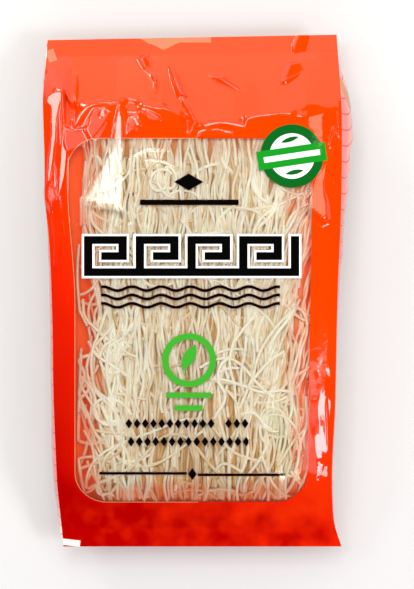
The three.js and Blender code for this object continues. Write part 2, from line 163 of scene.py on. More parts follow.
# Facets: flat stretches of taut film. Each has how far it stands clear of the resting film at its nearest
# corner, its rise per mm along X and Y, how steeply its sides fall, and its outlines, which never turn in.
facets = [
    ("shoulderTop", 0.1, (0.355, 0.0), 0.9, [
        [(-83.4, 104), (-82.4, 107.6), (-79.6, 109.6), (-75, 110), (-74.6, 106.6), (-76, 101.6),
         (-80, 100.4)]]),
    ("shoulder", 0.1, (0.355, 0.0), 0.9, [
        [(-80.6, 102), (-76, 102), (-77.9, 92.5), (-80.6, 92.5)],
        [(-80.6, 93.5), (-77.7, 93.5), (-78.2, 83), (-80.4, 83)],
        [(-80.4, 84), (-78.2, 84), (-79.8, 70), (-81.6, 59), (-82.8, 59), (-82, 72)]]),
    ("leftStrip", 0.1, (0.355, 0.0), 0.9, [
        [(-74.2, 90.3), (-72.2, 90.3), (-71.6, 77), (-72.9, 63.2), (-76.2, 51), (-76.8, 51.6), (-76.4, 61.6),
         (-75.1, 77)]]),
    ("leftSliver", 0.1, (0.355, 0.0), 0.9, [
        [(-79.3, 69.8), (-78, 66), (-77.6, 53.9), (-79, 56)]]),
    ("leftDiamond", 0.1, (0.355, -0.2), 0.9, [
        [(-83.7, 56), (-80.2, 58.5), (-77.8, 51), (-81, 46.8), (-84, 51)]]),
    ("star", 0.1, (0.03, -0.06), 0.6, [
        [(-72.8, 90.2), (-67.3, 87), (-63.4, 78.8), (-70.6, 76.2), (-72.4, 80)],
        [(-67.3, 87), (-60.2, 88.6), (-56.6, 82.4), (-62.9, 78.8)]]),
    ("band", 0.1, (0.035, -0.055), 0.35, [
        [(-57, 99.5), (-51, 100.5), (-48.5, 97), (-50.3, 93), (-54.1, 87.4), (-56.6, 83), (-60.5, 88),
         (-59, 94.7)]]),
    ("bandSpot", 0.1, (0.12, -0.02), 0.4, [
        [(-54.4, 95), (-53.6, 97.6), (-51.6, 99.2), (-51.1, 98), (-52.8, 95)]]),
    ("besideTriangle", 0.1, (0.03, -0.075), 0.4, [
        [(-37.5, 95), (-32.5, 95), (-31.9, 93), (-34.5, 88.4), (-37.6, 86.5)]]),
    ("spot", 0.2, (0.118, -0.01), 0.9, [
        [(-35.4, 95.2), (-33.9, 94.6), (-31.6, 90.4), (-33.4, 90)]]),
    ("tongue", 0.1, (0.02, -0.075), 0.5, [
        [(-30.1, 100), (-25.6, 97.6), (-21.5, 95.6), (-21.3, 93.4), (-23.4, 92.7), (-26.7, 93.7),
         (-30, 97.3)]]),
    ("tongueRoot", 0.2, (0.118, -0.01), 0.9, [
        [(-31.6, 97.9), (-30.6, 99.2), (-29.2, 95.6)]]),
    ("rightPatch", 0.1, (-0.2, -0.08), 0.9, [
        [(71.3, 69.8), (70, 63), (69, 57), (68.6, 50), (62.2, 46), (62.2, 54), (65.9, 63.2)],
        [(69.4, 57), (70.3, 49), (73, 41.3), (68.6, 39.1), (62.4, 44.1), (62.2, 54)]]),
    # on the top slope: dark ones face right, bright ones left
    ("darkLeft", 0.1, (-0.366, -0.68), 1.2, [
        [(-67.4, 121), (-66.4, 121), (-65.2, 108), (-66.2, 103), (-67.2, 104), (-67.6, 108)]]),
    ("darkUpper", 0.1, (-0.344, -0.72), 1.2, [
        [(-31.6, 130.2), (-29, 131.6), (-26.4, 127), (-25.2, 119.6), (-27, 120), (-30, 125.6)]]),
    ("darkLower", 0.1, (-0.318, -0.7), 1.2, [
        [(-24.5, 117.4), (-22.6, 117.6), (-21.5, 112.7), (-22.4, 109), (-23.6, 109)]]),
    ("darkRightUpper", 0.1, (-0.116, -0.36), 0.9, [
        [(56.2, 142.4), (62.5, 142.6), (59.5, 133.4), (53.7, 133), (53.7, 136.1)]]),
    ("darkRightLower", 0.1, (-0.21, -0.68), 1.0, [
        [(51, 124.9), (56.9, 126.2), (58.9, 121.6), (54.3, 118.2), (49.8, 115.2), (47.8, 115.4),
         (48.6, 119)]]),
    ("crease", 0.1, (-0.264, -0.7), 1.2, [
        [(11.5, 117.8), (14.5, 118.2), (24.2, 110.9), (22.2, 110.7)]]),
    ("brightUpper", 0.1, (0.47, -0.7), 1.2, [
        [(-28.3, 124.8), (-26.5, 122.8), (-23.7, 118.9), (-23.7, 117.1), (-26.5, 118.6), (-27.2, 121.2)]]),
    ("streak", 0.1, (0.47, -0.7), 1.2, [
        [(-17.2, 126.6), (-15.9, 125.9), (-12.7, 118.6), (-9.7, 109.4), (-10.7, 108.9), (-14.2, 117.7)]]),
    ("streakFoot", 0.1, (0.47, -0.68), 1.2, [
        [(-9.6, 108.6), (-8, 105.8), (-6.7, 102.4), (-8, 104.2)]]),
    ("sparkle", 0.1, (-0.36, 0.0), 0.9, [
        [(43.6, -99.6), (47.2, -100.4), (47.6, -104.2), (44.8, -103.6)]]),
    ("palePatch", 0.1, (0.0, -0.075), 0.9, [
        [(1.2, 87.5), (10.5, 88.3), (19.3, 86), (18.7, 83.4), (9.4, 83.8), (0, 83.2)]]),
    # the taut stretch over the window comes last and cuts through its neighbours
    ("triangle", 0.2, (0.098, -0.039), 0.9, [
        [(-63.4, 47.9), (-53.6, 46), (-41.3, 42.6), (-41.2, 55), (-41.1, 76.9), (-49.2, 74.7), (-60.1, 53.9)],
        [(-49.6, 73.5), (-41.1, 76), (-41.1, 84), (-41.1, 93.5), (-43.8, 104.3), (-44.6, 98), (-46.2, 88)]]),
]


def smooth(start, end, value):
    s = np.clip((value - start) / (end - start), 0.0, 1.0)
    return s * s * (3 - 2 * s)


def along(points, y):
    # smooth line through points given from the top down
    knots = np.array(points, float)[::-1]
    slopes = np.gradient(knots[:, 1], knots[:, 0])
    i = np.clip(np.searchsorted(knots[:, 0], y) - 1, 0, len(knots) - 2)
    span = knots[i + 1, 0] - knots[i, 0]
    s = np.clip((y - knots[i, 0]) / span, 0, 1)
    return (knots[i, 1] * (1 + 2 * s) * (1 - s) ** 2 + slopes[i] * span * s * (1 - s) ** 2
            + knots[i + 1, 1] * s * s * (3 - 2 * s) + slopes[i + 1] * span * s * s * (s - 1))


def opening(x, y):
    # 0 at a seal, 1 over the block
    lines, trend = np.array(breakLine, float), np.array(breakTrend, float)
    topSeal, bottomSeal = bag["topEdge"] - bag["sealDepth"], bag["bottomEdge"] + bag["sealDepth"]
    straight = np.interp(x, trend[:, 0], trend[:, 1])
    scallop = np.interp(x, lines[:, 0], lines[:, 1]) - straight
    edge = straight + scallop * smooth(scallopReach, 0, y - straight) - bag["breakWidth"]
    fromEdge = np.where(y > 0, y - edge, bag["blockBottom"] - y)
    length = np.where(y > 0, topSeal - edge, bag["blockBottom"] - bottomSeal)
    fillet = np.where(y > 0, *bag["breakFillet"])
    s = np.clip(fillet * np.logaddexp(0, fromEdge / fillet) / length, 0, 1)
    return 1 - s ** np.where(y > 0, *bag["slopeRoundness"])


def sealHeight(y):
    topDroop = bag["sealDroop"][0] * np.clip((y - bag["topEdge"]) / bag["sealDepth"] + 1, 0, 1)
    bottomDroop = bag["sealDroop"][1] * np.clip((bag["bottomEdge"] - y) / bag["sealDepth"] + 1, 0, 1)
    return np.where(y > 0, bag["topSeal"] - topDroop, bag["bottomSeal"] - bottomDroop)


def foldRise(x, y):
    rise = np.zeros_like(x)
    endLength = 2.0  # how far a fold runs out past its ends
    for (ax, ay), (bx, by), left, right, heights in folds:
        length = math.hypot(bx - ax, by - ay)
        ux, uy = (bx - ax) / length, (by - ay) / length
        t = ((x - ax) * ux + (y - ay) * uy) / length
        off = (y - ay) * ux - (x - ax) * uy
        s = np.clip(t, 0, 1)
        wide = np.where(off > 0, left[0] + (left[1] - left[0]) * s, right[0] + (right[1] - right[0]) * s)
        height = heights[0] + (heights[1] - heights[0]) * s
        past = np.abs(t - s) * length
        rise = np.maximum(rise, height * np.clip(1 - np.hypot(off / wide, past / endLength), 0, 1))
    return rise


def facetHeight(x, y, height, resting):
    deepest = 0.2  # how far a facet may press the film below where it rests
    for _, lift, slope, flank, outlines in facets:
        corners = np.array(sum(outlines, []), float)
        level = (frontHeight(corners[:, 0], corners[:, 1], False) - corners @ slope).max() + lift
        plane = level + slope[0] * x + slope[1] * y
        for outline in outlines:
            shape = np.array(outline, float)
            clear = level + shape @ slope - frontHeight(shape[:, 0], shape[:, 1], False)
            ahead = np.roll(shape, -1, 0)
            turn = math.copysign(1, sum(px * qy - qx * py for (px, py), (qx, qy) in zip(shape, ahead)))
            room = np.full_like(height, np.inf)   # how far the film may be moved at each place
            for i, (qx, qy) in enumerate(shape):
                px, py = shape[i - 1]
                long = math.hypot(qx - px, qy - py)
                inside = turn * ((qx - px) * (y - py) - (qy - py) * (x - px)) / long
                t = np.clip(((x - px) * (qx - px) + (y - py) * (qy - py)) / long ** 2, 0, 1)
                room = np.minimum(room, clear[i - 1] + (clear[i] - clear[i - 1]) * t + flank * inside)
            room = np.maximum(room, 0)
            height = height + np.clip(plane - height, -room, room)
    return np.maximum(height, resting - deepest)


def swell(x, y):
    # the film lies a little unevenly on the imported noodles
    return (unevenness["broad"] * np.sin(x / 15 + 0.6) * np.sin(y / 21 - 0.4)
            + unevenness["narrow"] * np.sin(x / 9 + y / 13)
            + unevenness["fine"] * np.sin(x / 3.1 + np.sin(y / 17)) * np.sin(y / 5.3 + x / 11))


def crumple(x, y):
    # fine wrinkles low on the right shoulder
    where = smooth(60, 66, x) * smooth(-30, -56, y) * smooth(-132, -112, y)
    return where * (unevenness["wrinkle"] * np.sin(x / 1.15 + 2 * np.sin(y / 6.5) + y / 9)
                    + unevenness["ripple"] * np.sin(y / 3.4 + np.sin(x / 2.3)))


def curlDrop(across):
    sag, reach = curlSag
    drop = sag * np.clip(np.abs(across) / reach, 0, 1) ** 4
    for side, stretches in ((-1, curlLeft), (1, curlRight)):
        ends = [stretch[0] for stretch in stretches[1:]] + [1.0]
        for (start, steepness, curl), end in zip(stretches, ends):
            past = np.clip(side * across, start, end) - start
            drop = drop + steepness * past + curl * past * past
    return drop


def frontHeight(x, y, creased=True):
    # height of the front film, or of what it lies on where creased is False
    left, right = along(leftFold, y), along(rightFold, y)
    across = np.clip((2 * x - left - right) / (right - left), -1, 1)
    openness = opening(x, y)
    rim = sealHeight(y) + bag["rimRise"]
    height = rim + (bag["height"] - rim - curlDrop(across)) * openness
    inner = smooth(1.0, 0.97, np.abs(across))              # 0 at the folds themselves
    calm = 0.2 + 0.8 * smooth(0.86, 0.72, np.abs(across))  # the film is tauter over the shoulders
    height = height + inner * openness * calm * swell(x, y)
    if not creased:
        return height
    pressed = inner * (smooth(0.0, 0.25, openness) * foldRise(x, y) + openness * crumple(x, y))
    return facetHeight(x, y, height + pressed, height)


def backHeight(x, y):
    return bag["backHeight"] + (sealHeight(y) - bag["backHeight"]) * (1 - opening(x, y))


def leaningY(x, y):
    # the top edge leans; 80 is half the bag's width
    return y + bag["topLean"] * (x / 80) * smooth(bag["blockTop"] - 20, bag["topEdge"], y)


def linearColour(hexText):
    channels = [int(hexText[i:i + 2], 16) / 255 for i in (0, 2, 4)]
    return [c / 12.92 if c <= 0.04045 else ((c + 0.055) / 1.055) ** 2.4 for c in channels] + [1.0]


def addNode(tree, kind, links=None, **settings):
    # each link is a number, a colour, a socket or another node, which stands for its first output in use
    node = tree.nodes.new(kind)
    for key, value in settings.items():
        setattr(node, key, value)
    for socket, value in (links or {}).items():
        if isinstance(value, bpy.types.Node):
            value = next(output for output in value.outputs if output.enabled)
        if isinstance(value, bpy.types.NodeSocket):
            tree.links.new(value, node.inputs[socket])
        else:
            node.inputs[socket].default_value = value
    return node


def newMaterial(name):
    material = bpy.data.materials.new(name)
    material.use_nodes = True
    material.node_tree.nodes.clear()
    return material, material.node_tree


def meshObject(name, points, faces, material, edges=()):
    mesh = bpy.data.meshes.new(name)
    mesh.from_pydata((np.asarray(points) * mm).tolist(), list(edges), faces)
    mesh.update()
    piece = bpy.data.objects.new(name, mesh)
    bpy.context.scene.collection.objects.link(piece)
    if material:
        mesh.materials.append(material)
    mesh.polygons.foreach_set("use_smooth", [True] * len(mesh.polygons))
    return piece


def gridFaces(rows, columns, turnedOver=False):
    first = (np.arange(rows - 1)[:, None] * columns + np.arange(columns - 1)[None, :]).ravel()
    corners = [first, first + 1, first + columns + 1, first + columns]
    return np.stack(corners[::-1] if turnedOver else corners, 1).tolist()


printSizes = {                         # millimetres on the front panel; a half is a half width and height
    "windowTop": 83.2,
    "windowBottom": -116.8,
    "windowLeft": (-67.2, -71.4),      # its left edge at the bottom and at the top
    "windowLeftStep": (-8.0, 62.0),    # between where and where along Y that edge moves over
    "windowRight": (59.8, 63.2),
    "windowCorner": 17.0,
    "rimHighlightHalfWidth": 0.22,              # painted highlight: a pale line along the window's left half
    "softEdge": 0.1,                   # half the width over which ink fades out
    "drift": 90.0,                     # how far the change from painted-shade red to orange wanders
    "creaseShade": 330.0,                   # the same for the painted light and shade blotches of the creased film at the foot
    "footShadeBlotches": (-112.0, -124.0),
    # pale salmon strips at the seals, painted reflection: centre, half, turn in degrees
    "salmonReflection": [((-2.5, 142.0), (9.5, 2.6), 0.0), ((-82.0, 131.3), (2.0, 3.4), 20.0)],
    "bareCorner": ((-71.6, -141.4), (5.0, 1.3), -7.0),
    # painted reflection: a pale peach V at the top seal
    "peachReflection": {"x": -19.2, "tip": 133.9, "steepness": 0.48, "speckleReach": 2.4},
    # key border: its lower left corner, one unit of it, its repeats and its pale outline
    "border": {"corner": (-62.4, 7.8), "unit": (4.72, 4.4), "repeats": 4, "outline": 1.15},
    "waves": {"centre": (-4.0, -3.6), "half": (49.0, 6.4), "pitch": 4.6, "stroke": 1.7, "length": 16.0,
              "height": 1.1},
    # rows of lozenges: left, right, level, pitch, half
    "lozenges": [(-40.0, 9.6, -72.9, 4.5, (1.9, 2.7)), (14.6, 28.4, -72.9, 4.5, (1.9, 2.7)),
                 (-38.8, 27.8, -82.8, 4.5, (1.9, 2.7)), (-6.0, 0.0, -100.6, 6.0, (2.4, 3.4)),
                 (-14.0, 4.0, 59.4, 18.0, (8.0, 4.6))],
    # bars: centre, half
    "blackBars": [((-30.0, -100.2), (24.0, 0.75)), ((24.0, -101.0), (24.0, 0.75)),
                  ((-4.6, 48.2), (27.0, 1.5))],
    "greenBars": [((-6.8, -43.6), (0.45, 3.2)), ((-5.0, -57.4), (12.4, 1.5)), ((-5.0, -64.4), (7.7, 1.5))],
    "ring": {"centre": (-4.8, -38.2), "outer": 14.8, "inner": 11.3},
    # leaves: centre, length, width, turn in degrees
    "ringLeaf": ((-4.8, -36.6), 15.5, 6.4, 62.0),
    "badge": {"centre": (51.6, 73.6), "outer": 17.4, "inner": 12.4, "turn": 8.5, "band": (19.0, 5.2),
              "stripe": (15.5, 1.5),
              "leaves": [((50.4, 82.6), 10.5, 2.6, 18.0), ((53.0, 64.8), 10.5, 2.6, 12.0)]},
}
printColours = {
    "orange": "DA3700",                # print at the top and the right
    "middle": "CA1C03",                # print halfway down the left side, darkened as painted shade
    "shadedRed": "A00000",                   # print at the lower left, darkened to red as painted shade where the light falls off
    "black": "050505",
    "white": "F4F3F1",
    "leafGreen": "37962A",
    "darkGreen": "09581B",
    "brightGreen": "13861F",
    "peachReflection": "B46C4C",                 # painted reflection: a pale V at the top seal
    "salmonReflection": "C86A4C",                # painted reflection: pale strips at the seals
    "bare": "E6E0D6",                  # unprinted corner at the bottom left
    # painted highlight along the window's left edge
    "rim": "E0A070",
}


def boxDistance(tree, place, centre, half):
    # distance from a flat box, below 0 inside it
    offset = addNode(tree, "ShaderNodeVectorMath", {0: place, 1: (*centre, 0)}, operation="SUBTRACT")
    away = addNode(tree, "ShaderNodeVectorMath", {0: offset}, operation="ABSOLUTE")
    past = addNode(tree, "ShaderNodeVectorMath", {0: away, 1: (*half, 0)}, operation="SUBTRACT")
    parts = addNode(tree, "ShaderNodeSeparateXYZ", {0: past})
    return addNode(tree, "ShaderNodeMath", {0: parts.outputs["X"], 1: parts.outputs["Y"]},
                   operation="MAXIMUM")


def discDistance(tree, place, centre, radius):
    reach = addNode(tree, "ShaderNodeVectorMath", {0: place, 1: (*centre, 0)}, operation="DISTANCE")
    return addNode(tree, "ShaderNodeMath", {0: reach, 1: radius}, operation="SUBTRACT")


def turned(tree, place, centre, degrees):
    # place as seen from a shape that is turned about its centre
    return addNode(tree, "ShaderNodeVectorRotate",
                   {"Vector": place, "Center": (*centre, 0), "Angle": math.radians(-degrees)},
                   rotation_type="Z_AXIS")


def inkMask(tree, distance, past=0.0):
    # 1 inside a shape that is made bigger by past, with a soft edge
    soft = printSizes["softEdge"]
    return addNode(tree, "ShaderNodeMapRange",
                   {"Value": distance, "From Min": past + soft, "From Max": past - soft})


def leafDistance(tree, place, centre, length, width, degrees):
    # where two discs cross: a leaf of that length and width
    radius = (length * length / 4 + width * width / 4) / width
    shift = radius - width / 2
    local = turned(tree, place, centre, degrees)
    upper = discDistance(tree, local, (centre[0], centre[1] + shift), radius)
    lower = discDistance(tree, local, (centre[0], centre[1] - shift), radius)
    return addNode(tree, "ShaderNodeMath", {0: upper, 1: lower}, operation="MAXIMUM")


def nearest(tree, distances):
    result = distances[0]
    for distance in distances[1:]:
        result = addNode(tree, "ShaderNodeMath", {0: result, 1: distance}, operation="MINIMUM")
    return result


def flatPlace(tree):
    # millimetres on the flat of the print: the object's own X and Y
    coordinates = addNode(tree, "ShaderNodeTexCoord")
    return addNode(tree, "ShaderNodeVectorMath",
                   {0: coordinates.outputs["Object"], 1: (1 / mm, 1 / mm, 0)}, operation="MULTIPLY")


def windowDistance(tree, place):
    # distance from the window's outline, which has round corners and leaning sides
    sizes = printSizes
    bottom, top, corner = sizes["windowBottom"], sizes["windowTop"], sizes["windowCorner"]
    y = addNode(tree, "ShaderNodeSeparateXYZ", {0: place}).outputs["Y"]
    stepStart, stepEnd = sizes["windowLeftStep"]
    left = addNode(tree, "ShaderNodeMapRange",
                   {"Value": y, "From Min": stepStart, "From Max": stepEnd,
                    "To Min": sizes["windowLeft"][0], "To Max": sizes["windowLeft"][1]},
                   interpolation_type="SMOOTHSTEP")
    right = addNode(tree, "ShaderNodeMapRange",
                    {"Value": y, "From Min": bottom, "From Max": top,
                     "To Min": sizes["windowRight"][0], "To Max": sizes["windowRight"][1]})
    lowLeft = addNode(tree, "ShaderNodeCombineXYZ", {0: left, 1: bottom})
    highRight = addNode(tree, "ShaderNodeCombineXYZ", {0: right, 1: top})
    both = addNode(tree, "ShaderNodeVectorMath", {0: lowLeft, 1: highRight}, operation="ADD")
    centre = addNode(tree, "ShaderNodeVectorMath", {0: both, 1: (0.5, 0.5, 0)}, operation="MULTIPLY")
    size = addNode(tree, "ShaderNodeVectorMath", {0: highRight, 1: lowLeft}, operation="SUBTRACT")
    # half the size, less the corner
    inner = addNode(tree, "ShaderNodeVectorMath", {0: size, 1: (0.5, 0.5, 0), 2: (-corner, -corner, 0)},
                    operation="MULTIPLY_ADD")
    offset = addNode(tree, "ShaderNodeVectorMath", {0: place, 1: centre}, operation="SUBTRACT")
    away = addNode(tree, "ShaderNodeVectorMath", {0: offset}, operation="ABSOLUTE")
    past = addNode(tree, "ShaderNodeVectorMath", {0: away, 1: inner}, operation="SUBTRACT")
    outside = addNode(tree, "ShaderNodeVectorMath", {0: past, 1: (0, 0, 0)}, operation="MAXIMUM")
    reach = addNode(tree, "ShaderNodeVectorMath", {0: outside}, operation="LENGTH")
    return addNode(tree, "ShaderNodeMath", {0: reach, 1: corner}, operation="SUBTRACT")


def borderDistance(tree, place):
    # a running key border: five units high, six units to each repeat
    border = printSizes["border"]
    (left, bottom), (unitX, unitY) = border["corner"], border["unit"]
    parts = addNode(tree, "ShaderNodeSeparateXYZ", {0: place})
    fromLeft = addNode(tree, "ShaderNodeMath", {0: parts.outputs["X"], 1: left}, operation="SUBTRACT")
    localX = addNode(tree, "ShaderNodeMath", {0: fromLeft, 1: 6 * unitX}, operation="FLOORED_MODULO")
    localY = addNode(tree, "ShaderNodeMath", {0: parts.outputs["Y"], 1: bottom}, operation="SUBTRACT")
    local = addNode(tree, "ShaderNodeCombineXYZ", {0: localX, 1: localY})
    # bars of one repeat, in units: left, right, low, high
    bars = [(-1, 7, 0, 1), (0, 1, 0, 5), (6, 7, 0, 5), (0, 5, 4, 5), (4, 5, 2, 5), (2, 5, 2, 3)]
    shapes = []
    for x0, x1, y0, y1 in bars:
        centre = ((x0 + x1) / 2 * unitX, (y0 + y1) / 2 * unitY)
        half = ((x1 - x0) / 2 * unitX, (y1 - y0) / 2 * unitY)
        shapes.append(boxDistance(tree, local, centre, half))
    wide, high = (6 * border["repeats"] + 1) * unitX, 5 * unitY
    whole = boxDistance(tree, place, (left + wide / 2, bottom + high / 2), (wide / 2, high / 2))
    return addNode(tree, "ShaderNodeMath", {0: nearest(tree, shapes), 1: whole}, operation="MAXIMUM")


def wavesDistance(tree, place, waves):
    # level wavy lines, one above the other, like noodles
    parts = addNode(tree, "ShaderNodeSeparateXYZ", {0: place})
    phase = addNode(tree, "ShaderNodeMath", {0: parts.outputs["X"], 1: 2 * math.pi / waves["length"]},
                    operation="MULTIPLY")
    sine = addNode(tree, "ShaderNodeMath", {0: phase}, operation="SINE")
    sway = addNode(tree, "ShaderNodeMath", {0: sine, 1: waves["height"]}, operation="MULTIPLY")
    lowest = waves["centre"][1] - waves["pitch"] / 2
    level = addNode(tree, "ShaderNodeMath", {0: parts.outputs["Y"], 1: lowest}, operation="SUBTRACT")
    level = addNode(tree, "ShaderNodeMath", {0: level, 1: sway}, operation="ADD")
    row = addNode(tree, "ShaderNodeMath", {0: level, 1: waves["pitch"]}, operation="FLOORED_MODULO")
    off = addNode(tree, "ShaderNodeMath", {0: row, 1: waves["pitch"] / 2}, operation="SUBTRACT")
    away = addNode(tree, "ShaderNodeMath", {0: off}, operation="ABSOLUTE")
    line = addNode(tree, "ShaderNodeMath", {0: away, 1: waves["stroke"] / 2}, operation="SUBTRACT")
    whole = boxDistance(tree, place, waves["centre"], waves["half"])
    return addNode(tree, "ShaderNodeMath", {0: line, 1: whole}, operation="MAXIMUM")


def lozengesDistance(tree, place, left, right, level, pitch, half):
    # a row of small lozenges from left to right
    parts = addNode(tree, "ShaderNodeSeparateXYZ", {0: place})
    fromLeft = addNode(tree, "ShaderNodeMath", {0: parts.outputs["X"], 1: left}, operation="SUBTRACT")
    row = addNode(tree, "ShaderNodeMath", {0: fromLeft, 1: pitch}, operation="FLOORED_MODULO")
    offX = addNode(tree, "ShaderNodeMath", {0: row, 1: pitch / 2}, operation="SUBTRACT")
    awayX = addNode(tree, "ShaderNodeMath", {0: offX}, operation="ABSOLUTE")
    offY = addNode(tree, "ShaderNodeMath", {0: parts.outputs["Y"], 1: level}, operation="SUBTRACT")
    awayY = addNode(tree, "ShaderNodeMath", {0: offY}, operation="ABSOLUTE")
    slant = addNode(tree, "ShaderNodeMath", {0: awayX, 1: half[1] / half[0]}, operation="MULTIPLY")
    slant = addNode(tree, "ShaderNodeMath", {0: slant, 1: awayY}, operation="ADD")
    shape = addNode(tree, "ShaderNodeMath", {0: slant, 1: half[1]}, operation="SUBTRACT")
    whole = boxDistance(tree, place, ((left + right) / 2, level), ((right - left) / 2, half[1] + 1))
    return addNode(tree, "ShaderNodeMath", {0: shape, 1: whole}, operation="MAXIMUM")


def layered(tree, colour, mask, hexText):
    # a layer of ink over what is printed already, or of tint over film
    return addNode(tree, "ShaderNodeMix", {0: mask, 6: colour, 7: linearColour(hexText)}, data_type="RGBA")


def groundColourWithPaintedLight(tree, place):
    # the print's colour: orange at the top and the right, darkened to red at the lower left as painted shade,
    # with painted light and shade on the creased foot, painted reflections at the top seal and bare film at
    # the lower left corner
    parts = addNode(tree, "ShaderNodeSeparateXYZ", {0: place})
    x, y = parts.outputs["X"], parts.outputs["Y"]
    slant = addNode(tree, "ShaderNodeMath", {0: x, 1: y}, operation="ADD")
    slow = addNode(tree, "ShaderNodeTexNoise", {"Vector": place, "Scale": 0.02, "Detail": 1.0})
    level = addNode(tree, "ShaderNodeMath", {0: slant, 1: printSizes["drift"] / 2}, operation="SUBTRACT")
    drift = addNode(tree, "ShaderNodeMath", {0: slow, 1: printSizes["drift"], 2: level},
                    operation="MULTIPLY_ADD")
    # painted light and shade of the creased film at the foot: paler and darker blotches about 14 mm wide,
    # redder at the right
    creaseShade = addNode(tree, "ShaderNodeTexNoise", {"Vector": place, "Scale": 0.07, "Detail": 2.0})
    start, end = printSizes["footShadeBlotches"]
    footShare = addNode(tree, "ShaderNodeMapRange",
                        {"Value": y, "From Min": start, "From Max": end, "To Max": printSizes["creaseShade"]})
    redder = addNode(tree, "ShaderNodeMapRange",
                     {"Value": x, "From Min": 0.0, "From Max": 60.0, "To Min": 0.47, "To Max": 0.61})
    uneven = addNode(tree, "ShaderNodeMath", {0: creaseShade, 1: redder}, operation="SUBTRACT")
    drift = addNode(tree, "ShaderNodeMath", {0: uneven, 1: footShare, 2: drift}, operation="MULTIPLY_ADD")
    # painted shade: the print darkens from orange to red towards the lower left
    low = addNode(tree, "ShaderNodeMapRange", {"Value": drift, "From Min": -185.0, "From Max": -75.0})
    high = addNode(tree, "ShaderNodeMapRange", {"Value": drift, "From Min": -75.0, "From Max": 55.0})
    colour = layered(tree, linearColour(printColours["shadedRed"]), low, printColours["middle"])
    colour = layered(tree, colour, high, printColours["orange"])
    # painted reflection at the top seal: a pale V that comes to a point, with a speckled edge
    peachReflection = printSizes["peachReflection"]
    off = addNode(tree, "ShaderNodeMath", {0: x, 1: -peachReflection["x"]}, operation="ADD")
    parted = addNode(tree, "ShaderNodeMath", {0: off}, operation="ABSOLUTE")
    speckle = addNode(tree, "ShaderNodeTexNoise", {"Vector": place, "Scale": 0.5, "Detail": 2.0})
    speckledTip = addNode(tree, "ShaderNodeMath", {0: speckle, 1: peachReflection["speckleReach"], 2: peachReflection["tip"]},
                     operation="MULTIPLY_ADD")
    edge = addNode(tree, "ShaderNodeMath", {0: parted, 1: peachReflection["steepness"], 2: speckledTip},
                   operation="MULTIPLY_ADD")
    peachReflectionEdge = addNode(tree, "ShaderNodeMath", {0: edge, 1: y}, operation="SUBTRACT")
    # painted reflection: pale salmon strips at the seals
    strips = [boxDistance(tree, turned(tree, place, centre, degrees), centre, half)
              for centre, half, degrees in printSizes["salmonReflection"]]
    centre, half, degrees = printSizes["bareCorner"]
    bareCorner = boxDistance(tree, turned(tree, place, centre, degrees), centre, half)
    colour = layered(tree, colour, inkMask(tree, nearest(tree, strips), 0.3), printColours["salmonReflection"])
    colour = layered(tree, colour, inkMask(tree, bareCorner, 0.5), printColours["bare"])
    return layered(tree, colour, inkMask(tree, peachReflectionEdge, 0.3), printColours["peachReflection"])


def inkColour(tree, place):
    # returns the print's colour and where there is ink at all
    x = addNode(tree, "ShaderNodeSeparateXYZ", {0: place}).outputs["X"]
    window = windowDistance(tree, place)
    fromWindow = addNode(tree, "ShaderNodeMath", {0: window, 1: -1.0}, operation="MULTIPLY")
    # painted highlight: a pale line along the window's left edge
    toEdge = addNode(tree, "ShaderNodeMath", {0: window}, operation="ABSOLUTE")
    rim = addNode(tree, "ShaderNodeMath", {0: toEdge, 1: printSizes["rimHighlightHalfWidth"]}, operation="SUBTRACT")
    leftRimHighlight = addNode(tree, "ShaderNodeMath", {0: rim, 1: x}, operation="MAXIMUM")
    colour = layered(tree, groundColourWithPaintedLight(tree, place), inkMask(tree, leftRimHighlight), printColours["rim"])

    black = [wavesDistance(tree, place, printSizes["waves"])]
    black += [lozengesDistance(tree, place, *row) for row in printSizes["lozenges"]]
    black += [boxDistance(tree, place, *bar) for bar in printSizes["blackBars"]]
    border = borderDistance(tree, place)
    ring, badge = printSizes["ring"], printSizes["badge"]
    hole = discDistance(tree, place, ring["centre"], ring["inner"])
    outsideHole = addNode(tree, "ShaderNodeMath", {0: hole, 1: -1.0}, operation="MULTIPLY")
    ringDisc = discDistance(tree, place, ring["centre"], ring["outer"])
    green = [addNode(tree, "ShaderNodeMath", {0: ringDisc, 1: outsideHole}, operation="MAXIMUM"),
             leafDistance(tree, place, *printSizes["ringLeaf"])]
    green += [boxDistance(tree, place, *bar) for bar in printSizes["greenBars"]]
    disc = discDistance(tree, place, badge["centre"], badge["outer"])
    inner = discDistance(tree, place, badge["centre"], badge["inner"])
    level = turned(tree, place, badge["centre"], badge["turn"])
    band = boxDistance(tree, level, badge["centre"], badge["band"])
    stripe = boxDistance(tree, level, badge["centre"], badge["stripe"])
    leaves = nearest(tree, [leafDistance(tree, place, *leaf) for leaf in badge["leaves"]])

    outline = printSizes["border"]["outline"]
    for distance, past, name in ((nearest(tree, black), 0.0, "black"), (border, outline, "white"),
                                 (border, 0.0, "black"), (nearest(tree, green), 0.0, "leafGreen"),
                                 (disc, 0.0, "darkGreen"), (inner, 0.0, "white"),
                                 (leaves, 0.0, "darkGreen"), (band, 0.0, "brightGreen"),
                                 (stripe, 0.0, "white")):
        colour = layered(tree, colour, inkMask(tree, distance, past), printColours[name])
    outlined = addNode(tree, "ShaderNodeMath", {0: border, 1: outline}, operation="SUBTRACT")
    covered = inkMask(tree, nearest(tree, black + green + [disc, band, outlined]))
    ink = addNode(tree, "ShaderNodeMath", {0: inkMask(tree, fromWindow), 1: covered}, operation="MAXIMUM")
    return colour, ink


clearFilm = {
    "ior": 1.5,
    "gloss": 0.05,           # roughness of the front film, clear or printed
    "sideGloss": 0.08,       # the side film is handled more
    "haze": 0.012,           # share of the light that the front film scatters
    "hazeColour": "FFF6EC",
}


